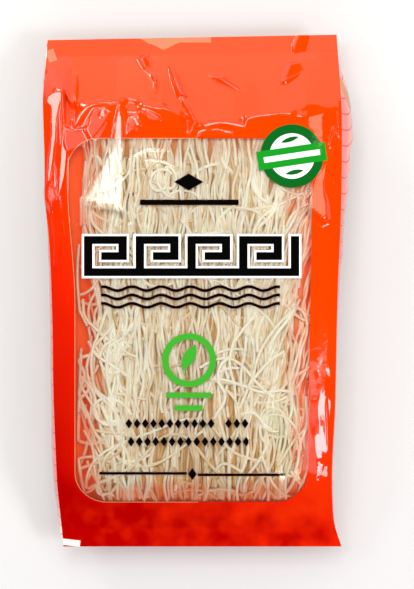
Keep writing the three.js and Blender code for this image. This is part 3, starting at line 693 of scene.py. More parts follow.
def clearShader(tree, gloss, haze, hazeColour, bump):
    # thin clear plastic: it mirrors by Fresnel and lets the rest of the light straight through
    fresnel = addNode(tree, "ShaderNodeFresnel", {"IOR": clearFilm["ior"], "Normal": bump})
    through = addNode(tree, "ShaderNodeBsdfTransparent")
    veil = addNode(tree, "ShaderNodeBsdfDiffuse", {"Color": hazeColour, "Normal": bump})
    cloudy = addNode(tree, "ShaderNodeMixShader", {0: haze, 1: through, 2: veil})
    mirror = addNode(tree, "ShaderNodeBsdfAnisotropic", {"Roughness": gloss, "Normal": bump})
    return addNode(tree, "ShaderNodeMixShader", {0: fresnel, 1: cloudy, 2: mirror})


def filmBump(tree, place):
    # stretch marks of rolled film, 6 mm and 1.5 mm apart
    coarse = addNode(tree, "ShaderNodeTexNoise", {"Vector": place, "Scale": 0.16, "Detail": 2.0})
    fine = addNode(tree, "ShaderNodeTexNoise", {"Vector": place, "Scale": 0.6, "Detail": 1.0})
    both = addNode(tree, "ShaderNodeMath", {0: fine, 1: 0.15, 2: coarse}, operation="MULTIPLY_ADD")
    return addNode(tree, "ShaderNodeBump", {"Height": both, "Strength": 0.12, "Distance": 0.0004})


def printedFilm():
    # cast polypropylene film printed on its inner side: glass-smooth outside, flat ink below it
    material, tree = newMaterial("polypropyleneFilmPrinted")
    place = flatPlace(tree)
    colour, ink = inkColour(tree, place)
    bump = filmBump(tree, place)
    printed = addNode(tree, "ShaderNodeBsdfPrincipled",
                      {"Base Color": colour, "Roughness": clearFilm["gloss"], "IOR": clearFilm["ior"],
                       "Normal": bump})
    clear = clearShader(tree, clearFilm["gloss"], clearFilm["haze"],
                        linearColour(clearFilm["hazeColour"]), bump)
    both = addNode(tree, "ShaderNodeMixShader", {0: ink, 1: clear, 2: printed})
    addNode(tree, "ShaderNodeOutputMaterial", {0: both})
    return material


sideFilm = {
    "pale": "FBDCD6",
    "pink": "EE8A86",
    "pinkHeights": (22.0, 37.0),  # pale below the first, pink by the print's light above the second
    # painted shade of the crimps
    "line": "C8585E",
    "tan": "D0946C",              # bare strip at the upper right corner
    "tanStrip": ((81.6, 109.8), (1.3, 9.0), 25.0),  # its centre, half size and turn
    "haze": 0.75,                 # share of the light that the milky film scatters
    "linePitch": 8.8,             # crimp lines of painted shade, mm
    "lineWidth": 0.8,
    "archHeight": 37.5,           # where each line hangs lowest
    "archBow": -0.05,
}


def plainClearFilm():
    # the same film without print, for the side panels: milky where it is crumpled, pink by the print's
    # light next to the fold, with darker crimp lines across it, painted shade of the folds where the film
    # doubles
    material, tree = newMaterial("polypropyleneFilmClear")
    place = flatPlace(tree)
    coordinates = addNode(tree, "ShaderNodeTexCoord")
    parts = addNode(tree, "ShaderNodeSeparateXYZ", {0: coordinates.outputs["Object"]})
    low, high = sideFilm["pinkHeights"]
    up = addNode(tree, "ShaderNodeMapRange", {"Value": parts.outputs["Z"], "From Min": low * mm,
                                              "From Max": high * mm})
    veil = layered(tree, linearColour(sideFilm["pale"]), up, sideFilm["pink"])
    # painted shade: darker crimp lines that arch across the film
    above = addNode(tree, "ShaderNodeMath", {0: parts.outputs["Z"], 1: sideFilm["archHeight"] * mm},
                    operation="SUBTRACT")
    arch = addNode(tree, "ShaderNodeMath", {0: above, 1: 1 / mm}, operation="MULTIPLY")
    square = addNode(tree, "ShaderNodeMath", {0: arch, 1: arch}, operation="MULTIPLY")
    y = addNode(tree, "ShaderNodeMath", {0: parts.outputs["Y"], 1: 1 / mm}, operation="MULTIPLY")
    bowed = addNode(tree, "ShaderNodeMath", {0: square, 1: sideFilm["archBow"], 2: y},
                    operation="MULTIPLY_ADD")
    row = addNode(tree, "ShaderNodeMath", {0: bowed, 1: sideFilm["linePitch"]}, operation="FLOORED_MODULO")
    line = addNode(tree, "ShaderNodeMath", {0: row, 1: sideFilm["lineWidth"]}, operation="SUBTRACT")
    veil = layered(tree, veil, inkMask(tree, line), sideFilm["line"])
    centre, half, degrees = sideFilm["tanStrip"]
    strip = boxDistance(tree, turned(tree, place, centre, degrees), centre, half)
    veil = layered(tree, veil, inkMask(tree, strip, 0.3), sideFilm["tan"])
    shader = clearShader(tree, clearFilm["sideGloss"], sideFilm["haze"], veil, filmBump(tree, place))
    addNode(tree, "ShaderNodeOutputMaterial", {0: shader})
    return material


noodleLook = {
    "pale": "FCF8E6",
    "tan": "D2A65E",
    "warmPale": "E6C2A4",         # noodles near the print, lit through it
    "warmTan": "DC4E16",
    "throughPrint": "FF5810",     # the light that comes through the print
    "throughStrength": 0.19,
    "pressed": "E6E4C6",          # strands pressed flat on the film, low at the right
    "pressedPatch": ((46.0, -84.0), (2.0, 17.0), 14.0),  # centre, half size and turn of where
    "lowerShade": (-60.0, -116.0, 0.27),  # painted shade: darker from the first Y down to the second, by how much
    "roughness": 0.42,
    "glow": 0.25,                 # share of the light that goes in and comes out elsewhere
    "glowDepth": 0.001,
    "deep": ("AE7632", "DCAE6E"),  # the inside of the block, darker as painted shade
    "deepWarm": "E8480C",
    # how much warm light comes in at each edge of the window: axis, where it starts and ends, the most
    "margins": [("X", -50.0, -66.0, 1.0), ("X", 47.0, 61.0, 0.9), ("Y", -103.0, -117.0, 0.7),
                ("Y", 70.0, 88.0, 0.4)],
    "marginWander": 16.0,
}
pleatFilm = {
    "lower": "E4500E",
    "upper": "F8580E",
    # painted light: how strongly the pleat glows orange
    "throughStrength": 0.14,
    "wander": 60.0,
    "heights": (-110.0, 60.0),    # Y of the lower and the upper colour
}


def flapFilm():
    # printed film of the pleat inside each side: orange, satin on its unprinted face, with a painted orange
    # glow for the light through the print
    material, tree = newMaterial("polypropyleneFilmPleat")
    place = flatPlace(tree)
    parts = addNode(tree, "ShaderNodeSeparateXYZ", {0: place})
    slow = addNode(tree, "ShaderNodeTexNoise", {"Vector": place, "Scale": 0.05, "Detail": 2.0})
    y = addNode(tree, "ShaderNodeMath", {0: parts.outputs["Y"], 1: pleatFilm["wander"] / 2},
                operation="SUBTRACT")
    level = addNode(tree, "ShaderNodeMath", {0: slow, 1: pleatFilm["wander"], 2: y},
                    operation="MULTIPLY_ADD")
    low, high = pleatFilm["heights"]
    share = addNode(tree, "ShaderNodeMapRange", {"Value": level, "From Min": low, "From Max": high})
    colour = layered(tree, linearColour(pleatFilm["lower"]), share, pleatFilm["upper"])
    shader = addNode(tree, "ShaderNodeBsdfPrincipled",
                     {"Base Color": colour, "Roughness": 0.5, "IOR": 1.5, "Specular IOR Level": 0.15,
                      "Emission Color": linearColour(noodleLook["throughPrint"]),
                      "Emission Strength": pleatFilm["throughStrength"], "Normal": filmBump(tree, place)})
    addNode(tree, "ShaderNodeOutputMaterial", {0: shader})
    return material


def backFilm():
    # printed film of the back panel, one plain colour
    material, tree = newMaterial("polypropyleneFilmBack")
    place = flatPlace(tree)
    slow = addNode(tree, "ShaderNodeTexNoise", {"Vector": place, "Scale": 0.02, "Detail": 2.0})
    colour = layered(tree, linearColour("F04A0A"), slow, "FF6A20")
    printed = addNode(tree, "ShaderNodeBsdfPrincipled",
                      {"Base Color": colour, "Roughness": 0.14, "IOR": 1.5, "Normal": filmBump(tree, place)})
    addNode(tree, "ShaderNodeOutputMaterial", {0: printed})
    return material


def marginWarmth(tree, place):
    # 1 at the window's edges, 0 in its middle: how much orange light from the print reaches the noodles
    cloud = addNode(tree, "ShaderNodeTexNoise", {"Vector": place, "Scale": 0.07, "Detail": 1.0})
    even = addNode(tree, "ShaderNodeMath", {0: cloud, 1: 0.5}, operation="SUBTRACT")
    wobble = addNode(tree, "ShaderNodeMath", {0: even, 1: noodleLook["marginWander"]}, operation="MULTIPLY")
    parts = addNode(tree, "ShaderNodeSeparateXYZ", {0: place})
    wandering = {axis: addNode(tree, "ShaderNodeMath", {0: parts.outputs[axis], 1: wobble}, operation="ADD")
                 for axis in ("X", "Y")}
    warmth = 0.0
    for axis, start, end, most in noodleLook["margins"]:
        ramp = addNode(tree, "ShaderNodeMapRange",
                       {"Value": wandering[axis], "From Min": start, "From Max": end, "To Max": most})
        warmth = addNode(tree, "ShaderNodeMath", {0: ramp, 1: warmth}, operation="ADD")
    return addNode(tree, "ShaderNodeMath", {0: warmth, 1: 1.0}, operation="MINIMUM")


def riceNoodle():
    # dried rice noodle, pressed and air dried: matt to satin, slightly see-through, off-white
    material, tree = newMaterial("driedRiceNoodle")
    place = flatPlace(tree)
    # each strand's own tone, lowered for the deeper strands as painted shade
    toneAndShade = addNode(tree, "ShaderNodeAttribute", attribute_name="toneAndShade")
    grain = addNode(tree, "ShaderNodeTexNoise", {"Vector": place, "Scale": 0.25, "Detail": 2.0})
    mixed = addNode(tree, "ShaderNodeMath", {0: grain, 1: 0.5, 2: toneAndShade.outputs["Fac"]},
                    operation="MULTIPLY_ADD")
    y = addNode(tree, "ShaderNodeSeparateXYZ", {0: place}).outputs["Y"]
    # painted shade: the strands darken towards the bottom of the window
    start, end, most = noodleLook["lowerShade"]
    low = addNode(tree, "ShaderNodeMapRange",
                  {"Value": y, "From Min": start, "From Max": end, "To Max": most})
    mixed = addNode(tree, "ShaderNodeMath", {0: mixed, 1: low}, operation="SUBTRACT")
    shade = addNode(tree, "ShaderNodeMapRange", {"Value": mixed, "From Min": 0.25, "From Max": 1.15})
    plain, warm = (addNode(tree, "ShaderNodeMix", {0: shade, 6: linearColour(noodleLook[dark]),
                                                   7: linearColour(noodleLook[light])}, data_type="RGBA")
                   for dark, light in (("tan", "pale"), ("warmTan", "warmPale")))
    warmth = marginWarmth(tree, place)
    colour = addNode(tree, "ShaderNodeMix", {0: warmth, 6: plain, 7: warm}, data_type="RGBA")
    # the patch of pressed strands has a ragged outline
    ragged = addNode(tree, "ShaderNodeTexNoise", {"Vector": place, "Scale": 0.16, "Detail": 3.0})
    centre, half, degrees = noodleLook["pressedPatch"]
    patch = boxDistance(tree, turned(tree, place, centre, degrees), centre, half)
    patch = addNode(tree, "ShaderNodeMath", {0: patch, 1: 13.0}, operation="SUBTRACT")
    patch = addNode(tree, "ShaderNodeMath", {0: ragged, 1: 22.0, 2: patch}, operation="MULTIPLY_ADD")
    pressed = addNode(tree, "ShaderNodeMath", {0: inkMask(tree, patch, 0.5), 1: 0.75}, operation="MULTIPLY")
    colour = layered(tree, colour, pressed, noodleLook["pressed"])
    # light through the print: most of it reaches the darker strands, which lie deep
    through = addNode(tree, "ShaderNodeMath", {0: warmth, 1: noodleLook["throughStrength"]},
                      operation="MULTIPLY")
    shadeLeft = addNode(tree, "ShaderNodeMath", {0: 1.25, 1: shade}, operation="SUBTRACT")
    glow = addNode(tree, "ShaderNodeMath", {0: through, 1: shadeLeft}, operation="MULTIPLY")
    shader = addNode(tree, "ShaderNodeBsdfPrincipled",
                     {"Base Color": colour, "Roughness": noodleLook["roughness"], "IOR": 1.45,
                      "Emission Color": linearColour(noodleLook["throughPrint"]), "Emission Strength": glow,
                      "Specular IOR Level": 0.35, "Subsurface Weight": noodleLook["glow"],
                      "Subsurface Radius": (1.0, 0.6, 0.3), "Subsurface Scale": noodleLook["glowDepth"]})
    addNode(tree, "ShaderNodeOutputMaterial", {0: shader})
    return material


def noodleBedding():
    # the inside of the block, painted darker for the light lost between the strands, and glowing orange at
    # the window's edges as painted light through the print
    material, tree = newMaterial("driedRiceNoodleDeep")
    place = flatPlace(tree)
    stretched = addNode(tree, "ShaderNodeVectorMath", {0: place, 1: (0.7, 0.03, 0.0)}, operation="MULTIPLY")
    streak = addNode(tree, "ShaderNodeTexNoise", {"Vector": stretched, "Scale": 1.0, "Detail": 3.0})
    dark, light = noodleLook["deep"]
    plain = addNode(tree, "ShaderNodeMix", {0: streak, 6: linearColour(dark), 7: linearColour(light)},
                    data_type="RGBA")
    warmth = marginWarmth(tree, place)
    colour = addNode(tree, "ShaderNodeMix",
                     {0: warmth, 6: plain, 7: linearColour(noodleLook["deepWarm"])}, data_type="RGBA")
    glow = addNode(tree, "ShaderNodeMath", {0: warmth, 1: noodleLook["throughStrength"]},
                   operation="MULTIPLY")
    shader = addNode(tree, "ShaderNodeBsdfPrincipled",
                     {"Base Color": colour, "Roughness": 0.7, "Emission Strength": glow,
                      "Emission Color": linearColour(noodleLook["throughPrint"])})
    addNode(tree, "ShaderNodeOutputMaterial", {0: shader})
    return material


def filmRows():
    # close together over the top slope, where the folds are
    upper = np.linspace(bag["topEdge"], bag["rowsSplit"], bag["rows"][0], endpoint=False)
    return np.concatenate([upper, np.linspace(bag["rowsSplit"], bag["bottomEdge"], bag["rows"][1])])


def frontPanel(material):
    y = filmRows()[:, None]
    left, middle, right = bag["columns"]
    margin = bag["marginWidth"]
    across = np.concatenate([np.linspace(0, margin, left, endpoint=False),
                             np.linspace(margin, 1 - margin, middle, endpoint=False),
                             np.linspace(1 - margin, 1, right)])[None, :]
    columns = across.size
    x = along(leftFold, y) * (1 - across) + along(rightFold, y) * across
    y = y + np.zeros_like(x)
    points = np.stack([x, leaningY(x, y), frontHeight(x, y)], -1).reshape(-1, 3)
    return meshObject("bagFrontFilm", points, gridFaces(len(x), columns, True), material)


def backPanel(material):
    columns = 60
    y = filmRows()[::4][:, None]
    across = np.linspace(0, 1, columns)[None, :]
    inset = bag["backInset"] * opening(np.zeros_like(y), y)
    x = (along(leftFold, y) + inset) * (1 - across) + (along(rightFold, y) - inset) * across
    y = y + np.zeros_like(x)
    points = np.stack([x, leaningY(x, y), backHeight(x, y)], -1).reshape(-1, 3)
    return meshObject("bagBackFilm", points, gridFaces(len(x), columns), material)


def sidePlace(fold, outermost, side, y, s):
    # X and height of a side panel's film, from its front fold at s = 0 round to the back at s = 1
    foldX, outX = along(fold, y), along(outermost, y)
    openness = opening(foldX, y)
    bulge = (outX - foldX) * np.sin(math.pi * np.clip(s, 0, 1)) ** bag["sideFullness"]
    crease = side * bag["sideCrease"] * openness * np.exp(-((s - 0.5) / 0.08) ** 2)
    tuck = side * bag["backInset"] * openness * smooth(0.75, 1.0, s)
    top, low = frontHeight(foldX, y), backHeight(foldX, y)
    return foldX + bulge - crease - tuck, top + (low - top) * s


def sidePanel(name, material, fold, outermost, side):
    columns, rippleHeight = 34, 0.5
    y = filmRows()[:, None]
    s = np.linspace(0, 1, columns)[None, :]
    x, z = sidePlace(fold, outermost, side, y, s)
    foldX = along(fold, y)
    # crimped along its upper half
    ripple = side * rippleHeight * np.sin(math.pi * s) * np.sin(y / 3.4 + 2.2 * np.sin(y / 11))
    ripple = ripple * smooth(0, 30, y)
    x = x + ripple * opening(foldX + np.zeros_like(s), y)
    y = y + np.zeros_like(x)
    points = np.stack([x, leaningY(x, y), z], -1).reshape(-1, 3)
    return meshObject(name, points, gridFaces(len(x), columns, side > 0), material)


pleat = {
    "left": -59.0,           # X of the inner edge on each side
    "right": 66.0,
    "fromFold": 2.0,         # how far the outer edge lies inside the fold
    "below": 1.6,            # how far the outer edge lies under the front film
    "dip": 6.5,              # how much deeper the inner edge lies
    "wrinkle": 0.35,
    "columns": 14,
}
block = {
    "top": 93.0,
    "bottom": -122.5,
    "filmGap": 0.5,
    "floorGap": 1.2,
    "seed": 7,
}


def innerPleat(name, material, fold, side, reach):
    # the side panel's printed pleat under the front panel's margin, on the shoulder of the noodles
    y = filmRows()[::3]
    y = y[(y < block["top"]) & (y > block["bottom"])][:, None]
    s = np.linspace(0, 1, pleat["columns"])[None, :]
    outer = along(fold, y) - side * pleat["fromFold"]
    inner = reach + 1.2 * np.sin(y / 7) + 0.8 * np.sin(y / 3.1 + 1)
    x = outer * (1 - s) + inner * s
    y = y + np.zeros_like(x)
    z = (frontHeight(x, y, False) - pleat["below"] - pleat["dip"] * s ** 1.4
         - pleat["wrinkle"] * np.sin(y / 2.7 + 3 * s) * s)
    points = np.stack([x, leaningY(x, y), z], -1).reshape(-1, 3)
    return meshObject(name, points, gridFaces(len(x), pleat["columns"], side < 0), material)


# [Y, X] of the block's two long sides, from the top
blockLeft = [(96, -62), (70, -64), (40, -63), (10, -65), (-25, -63), (-60, -64), (-95, -64), (-124, -59)]
blockRight = [(96, 74), (60, 77), (20, 74), (-20, 72), (-60, 71), (-100, 70), (-124, 66)]
golden = 0.6180339887            # steps of this share spread strands evenly and never line up
strands = {
    "startAtTop": 0.35,          # share of the strands that start at the block's top end
    "bends": ((45, 90), (18, 34)),     # length of the long and the short sway, mm
    "dips": ((40, 90), (14, 28)),      # the same for rising and sinking
    "dipDepths": (0.6, 0.25),
    # degrees that they lean: to the right above the middle, to the left, and outwards at the foot per mm
    "fanRight": 20,
    "fanLeft": -9,
    "fanFoot": 0.22,
}
noodleLayers = [
    # length, radius, how deep below the film, sway in degrees, points apart, faces round, and 0 tan to 1
    # pale, each strand's own tone lowered for the deeper layers as painted shade
    {"name": "noodlesDeep", "count": 210, "length": (120, 215), "radius": (0.8, 0.95), "depth": (3.0, 4.2),
     "sway": 7, "step": 3.4, "sides": 5, "toneAndShade": (-0.1, 0.4)},
    {"name": "noodlesMiddle", "count": 220, "length": (70, 190), "radius": (0.8, 1.0), "depth": (1.8, 3.0),
     "sway": 9, "step": 2.8, "sides": 5, "toneAndShade": (0.15, 0.8)},
    {"name": "noodlesTop", "count": 195, "length": (40, 150), "radius": (0.8, 1.02), "depth": (0.6, 1.8),
     "sway": 11, "step": 2.4, "sides": 6, "toneAndShade": (0.5, 1.05)},
]


def lean(x, y):
    # which way the strands run, degrees to the right of straight up
    right = strands["fanRight"] * smooth(20, 70, x) * smooth(-60, -10, y) * smooth(95, 30, y)
    left = strands["fanLeft"] * smooth(-25, -62, x) * smooth(70, 10, y)
    return right + left + strands["fanFoot"] * x * smooth(-60, -115, y)


def strandPaths(rng, layer):
    # each strand is walked down the block, turning with the strands round it and by its own sway
    count, step = layer["count"], layer["step"]
    length = rng.uniform(*layer["length"], count)
    startY = block["top"] - rng.uniform(0, 1, count) ** 1.4 * (block["top"] - block["bottom"] - 40)
    startY = np.where(rng.uniform(size=count) < strands["startAtTop"], block["top"] - 2, startY)
    spread = (np.arange(count) * golden) % 1.0
    left, right = along(blockLeft, startY), along(blockRight, startY)
    x = left + (right - left) * spread
    y = startY.copy()
    phases = rng.uniform(0, 2 * math.pi, (4, count))
    waves = np.array([rng.uniform(*lengths, count) for lengths in strands["bends"] + strands["dips"]])
    shallow = rng.uniform(*layer["depth"], count)
    steps = int(layer["length"][1] / step) + 1
    xs, ys, ds = [], [], []
    for i in range(steps):
        t = i * step
        xs.append(x.copy())
        ys.append(y.copy())
        sines = np.sin(2 * math.pi * t / waves + phases)
        ds.append(shallow + strands["dipDepths"][0] * sines[2] + strands["dipDepths"][1] * sines[3])
        angle = lean(x, y) + layer["sway"] * sines[0] + 0.8 * layer["sway"] * sines[1]
        x = x - step * np.sin(np.radians(angle))
        y = y - step * np.cos(np.radians(angle))
        x = np.clip(x, along(blockLeft, y) + 0.5, along(blockRight, y) - 0.5)
    xs, ys, ds = np.array(xs).T, np.array(ys).T, np.array(ds).T
    radius = rng.uniform(*layer["radius"], count)
    toneAndShade = rng.uniform(*layer["toneAndShade"], count)
    paths = []
    for i in range(count):
        keep = max(4, int(length[i] / step))
        inside = ys[i, :keep] > block["bottom"]
        n = max(4, int(inside.sum()))
        depth = np.maximum(ds[i, :n], 0.0)
        px, py = xs[i, :n], ys[i, :n]
        pz = frontHeight(px, py, False) - block["filmGap"] - radius[i] - depth
        paths.append((np.stack([px, py, pz], 1), radius[i], toneAndShade[i]))
    return paths


looseNoodles = {
    # loose strands on top: where along X and Y, how many, how long, how tightly they curl (radius, mm)
    "places": [((-63, -38), (-112, 5), 32, (30, 85), (12, 60)),
               ((-63, -34), (0, 78), 18, (25, 60), (12, 50)),
               ((36, 66), (-112, -10), 22, (30, 80), (12, 60)),
               ((30, 64), (0, 76), 12, (30, 60), (14, 60)),
               ((-38, 36), (-118, -78), 20, (20, 55), (10, 40)),
               ((-36, 34), (-70, 76), 16, (25, 60), (14, 60))],
    # strands wound into a loop: X, Y, radius of the loop
    "loops": [(-19.0, 62.0, 5.5), (-44.0, -33.0, 7.0), (-46.0, -70.0, 10.0), (40.0, -76.0, 8.0)],
    "heading": 40,                # degrees either way from straight up or down
    "depth": (0.1, 2.2),
    "toneAndShade": (0.65, 1.05),
    "radius": (0.82, 1.0),
    "laidRadius": (0.92, 1.08),
    "laidTone": (0.8, 1.1),
    "laidDip": (9, 2.2),          # over what length the ends of a laid strand dip, and how far
    "step": 1.8,
    "sides": 6,
}

# single strands that lie on top of the rest and show their whole curl: points along each, X and Y
laidStrands = [
    [(-63, -5), (-62, -14), (-55, -22), (-48, -28)],
    [(-49, -7), (-53, -20), (-58, -34), (-58, -45), (-56, -54), (-48, -61), (-43, -68)],
    [(-60, -28), (-55, -36), (-47, -41), (-36, -49)],
    [(-36, -17), (-40, -25), (-48, -31), (-50, -43), (-47, -58), (-43, -63)],
    [(-34, -16), (-40, -25), (-44, -36), (-43, -44)],
    [(-32, -12), (-32, -28), (-31, -41), (-35, -56), (-32, -68)],
    [(-58, -35), (-65, -38), (-62, -46), (-65, -56), (-60, -69), (-57, -77), (-52, -84)],
    [(33, -12), (26, -20), (21, -27), (19, -31)],
    [(21, -34), (12, -42), (11, -49), (15, -57), (8, -72)],
    [(4, -49), (14, -49), (24, -52), (36, -56), (47, -55), (56, -58)],
    [(55, -8), (43, -20), (35, -32), (29, -50), (22, -67)],
    [(56, -5), (50, -15), (42, -26), (38, -33)],
    [(48, -33), (39, -39), (32, -47), (26, -55)],
    [(49, -7), (57, -11), (61, -23)],
    [(23, -68), (30, -67), (37, -74), (43, -78)],
    [(-55, -61), (-57, -67), (-52, -73), (-42, -74)],
    [(-51, -60), (-43, -71), (-43, -84), (-50, -91), (-54, -101)],
    [(-53, -63), (-46, -78), (-38, -91), (-38, -104)],
    [(-34, -87), (-29, -95), (-28, -115)],
    [(-54, -98), (-54, -112), (-48, -111), (-44, -106)],
    [(8, -101), (14, -95), (20, -97), (26, -102)],
    [(17, -86), (17, -100), (17, -116)],
    [(40, -82), (33, -94), (26, -105), (25, -113)],
    [(55, -98), (52, -106), (46, -115)],
    [(-60, 73), (-56, 74), (-52, 68)],
    [(-21, 67), (-22, 60), (-18, 53), (-12, 50)],
    [(-20, 65), (-16, 68), (-12, 63), (-14, 56), (-20, 57)],
    [(-59, 47), (-58, 38), (-50, 29)],
    [(12, 76), (14, 70), (20, 64)],
    [(13, 70), (5, 68), (-4, 63)],
    [(32, 67), (30, 58), (34, 51), (42, 47)],
    [(43, 57), (42, 44), (35, 36), (31, 32)],
    [(55, 55), (55, 45), (48, 31), (45, 26)],
    [(61, 46), (56, 39), (53, 32)],
]


def loosePaths(rng):
    paths = []
    step = looseNoodles["step"]

    def walk(x, y, heading, length, curl, depth):
        n = max(5, int(length / step))
        t = np.arange(n) * step
        turn = t / curl + 0.35 * np.sin(t / rng.uniform(6, 14) + rng.uniform(0, 6))
        angle = heading + turn
        px = x + np.cumsum(np.cos(angle)) * step
        py = y + np.cumsum(np.sin(angle)) * step
        px = np.clip(px, along(blockLeft, py) - 1.0, along(blockRight, py) + 1.0)
        py = np.clip(py, block["bottom"], block["top"])
        radius = rng.uniform(*looseNoodles["radius"])
        sag = depth + 0.5 * np.sin(t / rng.uniform(5, 12) + rng.uniform(0, 6))
        pz = frontHeight(px, py, False) - block["filmGap"] - radius - np.maximum(sag, 0.0)
        toneAndShade = rng.uniform(*looseNoodles["toneAndShade"]) - 0.25 * depth   # deeper ones get less light
        paths.append((np.stack([px, py, pz], 1), radius, toneAndShade))

    for (x0, x1), (y0, y1), count, lengths, curls in looseNoodles["places"]:
        for _ in range(count):
            curl = rng.uniform(*curls) * rng.choice([-1, 1])
            off = rng.choice([90, 270]) + rng.uniform(-looseNoodles["heading"], looseNoodles["heading"])
            walk(rng.uniform(x0, x1), rng.uniform(y0, y1), math.radians(off), rng.uniform(*lengths), curl,
                 rng.uniform(*looseNoodles["depth"]))
    for x, y, size in looseNoodles["loops"]:
        for turn in range(2):
            walk(x + size, y + 2 * turn, math.radians(90), size * rng.uniform(4.5, 6.5),
                 size * rng.uniform(0.9, 1.1), 0.3 + 0.6 * turn)
    return paths


def laidPaths(rng):
    paths = []
    for points in laidStrands:
        knots = np.array(points, float)
        reach = np.concatenate([[0], np.cumsum(np.hypot(*np.diff(knots, axis=0).T))])
        t = np.arange(0, reach[-1], looseNoodles["step"])
        px = along(list(zip(reach[::-1], knots[::-1, 0])), t)
        py = along(list(zip(reach[::-1], knots[::-1, 1])), t)
        radius = rng.uniform(*looseNoodles["laidRadius"])
        dipLength, dip = looseNoodles["laidDip"]
        ends = np.clip(1 - np.minimum(t, reach[-1] - t) / dipLength, 0, 1)
        pz = frontHeight(px, py, False) - block["filmGap"] - radius - dip * ends ** 2
        paths.append((np.stack([px, py, pz], 1), radius, rng.uniform(*looseNoodles["laidTone"])))
    return paths


sideNoodles = {
    "count": 84,
    "length": (90, 205),
    "span": (0.26, 0.97),        # share of the side film's way from its front fold to the back
    "gap": 0.6,
    "inward": (0.0, 2.5),
    "radius": (0.7, 0.88),
    "toneAndShade": (0.1, 0.9),
    "step": 4.0,
    "sides": 5,
}


def sidePaths(rng):
    # strands down the two long sides of the block, just inside the side film
    paths = []
    step = sideNoodles["step"]
    for side, fold, outermost in ((-1, leftFold, leftSide), (1, rightFold, rightSide)):
        for i in range(sideNoodles["count"]):
            length = rng.uniform(*sideNoodles["length"])
            start = block["top"] - 3 - rng.uniform(0, 1) * (sideNoodles["length"][1] - length)
            t = np.arange(int(length / step)) * step
            y = start - t
            least, most = sideNoodles["span"]
            s = least + (most - least) * ((i * golden) % 1.0)
            s = np.clip(s + 0.05 * np.sin(t / rng.uniform(9, 20) + rng.uniform(0, 6)), least, most)
            x, z = sidePlace(fold, outermost, side, y, s)
            radius = rng.uniform(*sideNoodles["radius"])
            inward = rng.uniform(*sideNoodles["inward"])
            inward = inward + 0.7 * np.sin(t / rng.uniform(6, 15) + rng.uniform(0, 6))
            x = x - side * (sideNoodles["gap"] + radius + np.maximum(inward, 0.0))
            z = np.maximum(z, block["floorGap"] + radius)
            paths.append((np.stack([x, y, z], 1), radius, rng.uniform(*sideNoodles["toneAndShade"])))
    return paths


def sweepTree():
    # sweeps a round section along every edge path, as thick as its own "thick" value says
    tree = bpy.data.node_groups.new("sweepNoodles", "GeometryNodeTree")
    tree.interface.new_socket("Paths", in_out="INPUT", socket_type="NodeSocketGeometry")
    tree.interface.new_socket("Faces round", in_out="INPUT", socket_type="NodeSocketInt")
    tree.interface.new_socket("Material", in_out="INPUT", socket_type="NodeSocketMaterial")
    tree.interface.new_socket("Noodles", in_out="OUTPUT", socket_type="NodeSocketGeometry")
    entry = addNode(tree, "NodeGroupInput")
    curves = addNode(tree, "GeometryNodeMeshToCurve", {"Mesh": entry.outputs["Paths"]})
    thick = addNode(tree, "GeometryNodeInputNamedAttribute", {"Name": "thick"}, data_type="FLOAT")
    section = addNode(tree, "GeometryNodeCurvePrimitiveCircle",
                      {"Resolution": entry.outputs["Faces round"], "Radius": 1.0})
    swept = addNode(tree, "GeometryNodeCurveToMesh",
                    {"Curve": curves, "Profile Curve": section, "Scale": thick, "Fill Caps": True})
    rounded = addNode(tree, "GeometryNodeSetShadeSmooth", {"Geometry": swept})
    real = addNode(tree, "GeometryNodeRealizeInstances", {"Geometry": rounded})
    finished = addNode(tree, "GeometryNodeSetMaterial",
                       {"Geometry": real, "Material": entry.outputs["Material"]})
    addNode(tree, "NodeGroupOutput", {0: finished})
    return tree


def sweptNoodles(name, paths, sides, tree, material):
    points = np.concatenate([path for path, _, _ in paths])
    edges, first = [], 0
    for path, _, _ in paths:
        edges += [(first + i, first + i + 1) for i in range(len(path) - 1)]
        first += len(path)
    guide = meshObject(name + "Guide", points, [], None, edges)
    thick = np.concatenate([np.full(len(path), radius * mm) for path, radius, _ in paths])
    toneAndShade = np.concatenate([np.full(len(path), value) for path, _, value in paths])
    guide.data.attributes.new("thick", "FLOAT", "POINT").data.foreach_set("value", thick)
    guide.data.attributes.new("toneAndShade", "FLOAT", "POINT").data.foreach_set("value", toneAndShade)
    sweep = guide.modifiers.new("sweep", "NODES")
    sweep.node_group = tree
    for socket in tree.interface.items_tree:
        if socket.name == "Faces round":
            sweep[socket.identifier] = sides
        if socket.name == "Material":
            sweep[socket.identifier] = material
    evaluated = guide.evaluated_get(bpy.context.evaluated_depsgraph_get())
    mesh = bpy.data.meshes.new_from_object(evaluated)
    mesh.name = name
    guide.modifiers.clear()
    bpy.data.objects.remove(guide)
    piece = bpy.data.objects.new(name, mesh)
    bpy.context.scene.collection.objects.link(piece)
    print(name, len(paths), "strands,", sum(len(p.vertices) - 2 for p in mesh.polygons), "triangles")
    return piece


beddingShape = {
    "rows": 90,
    "columns": 64,
    "endGap": 3,             # how far it stays inside the block's two ends
    "squareness": 0.25,      # 1 makes it an ellipse in section, 0 a box
    "inset": 4.2,            # inside the folds at its shoulders, and how much more at its back
    "backInset": 5.0,
    "floor": 2.0,
    "below": 3.9,            # under the front film, and how much more under the pleats
    "shoulder": 6.0,
    "ripple": 0.5,
}


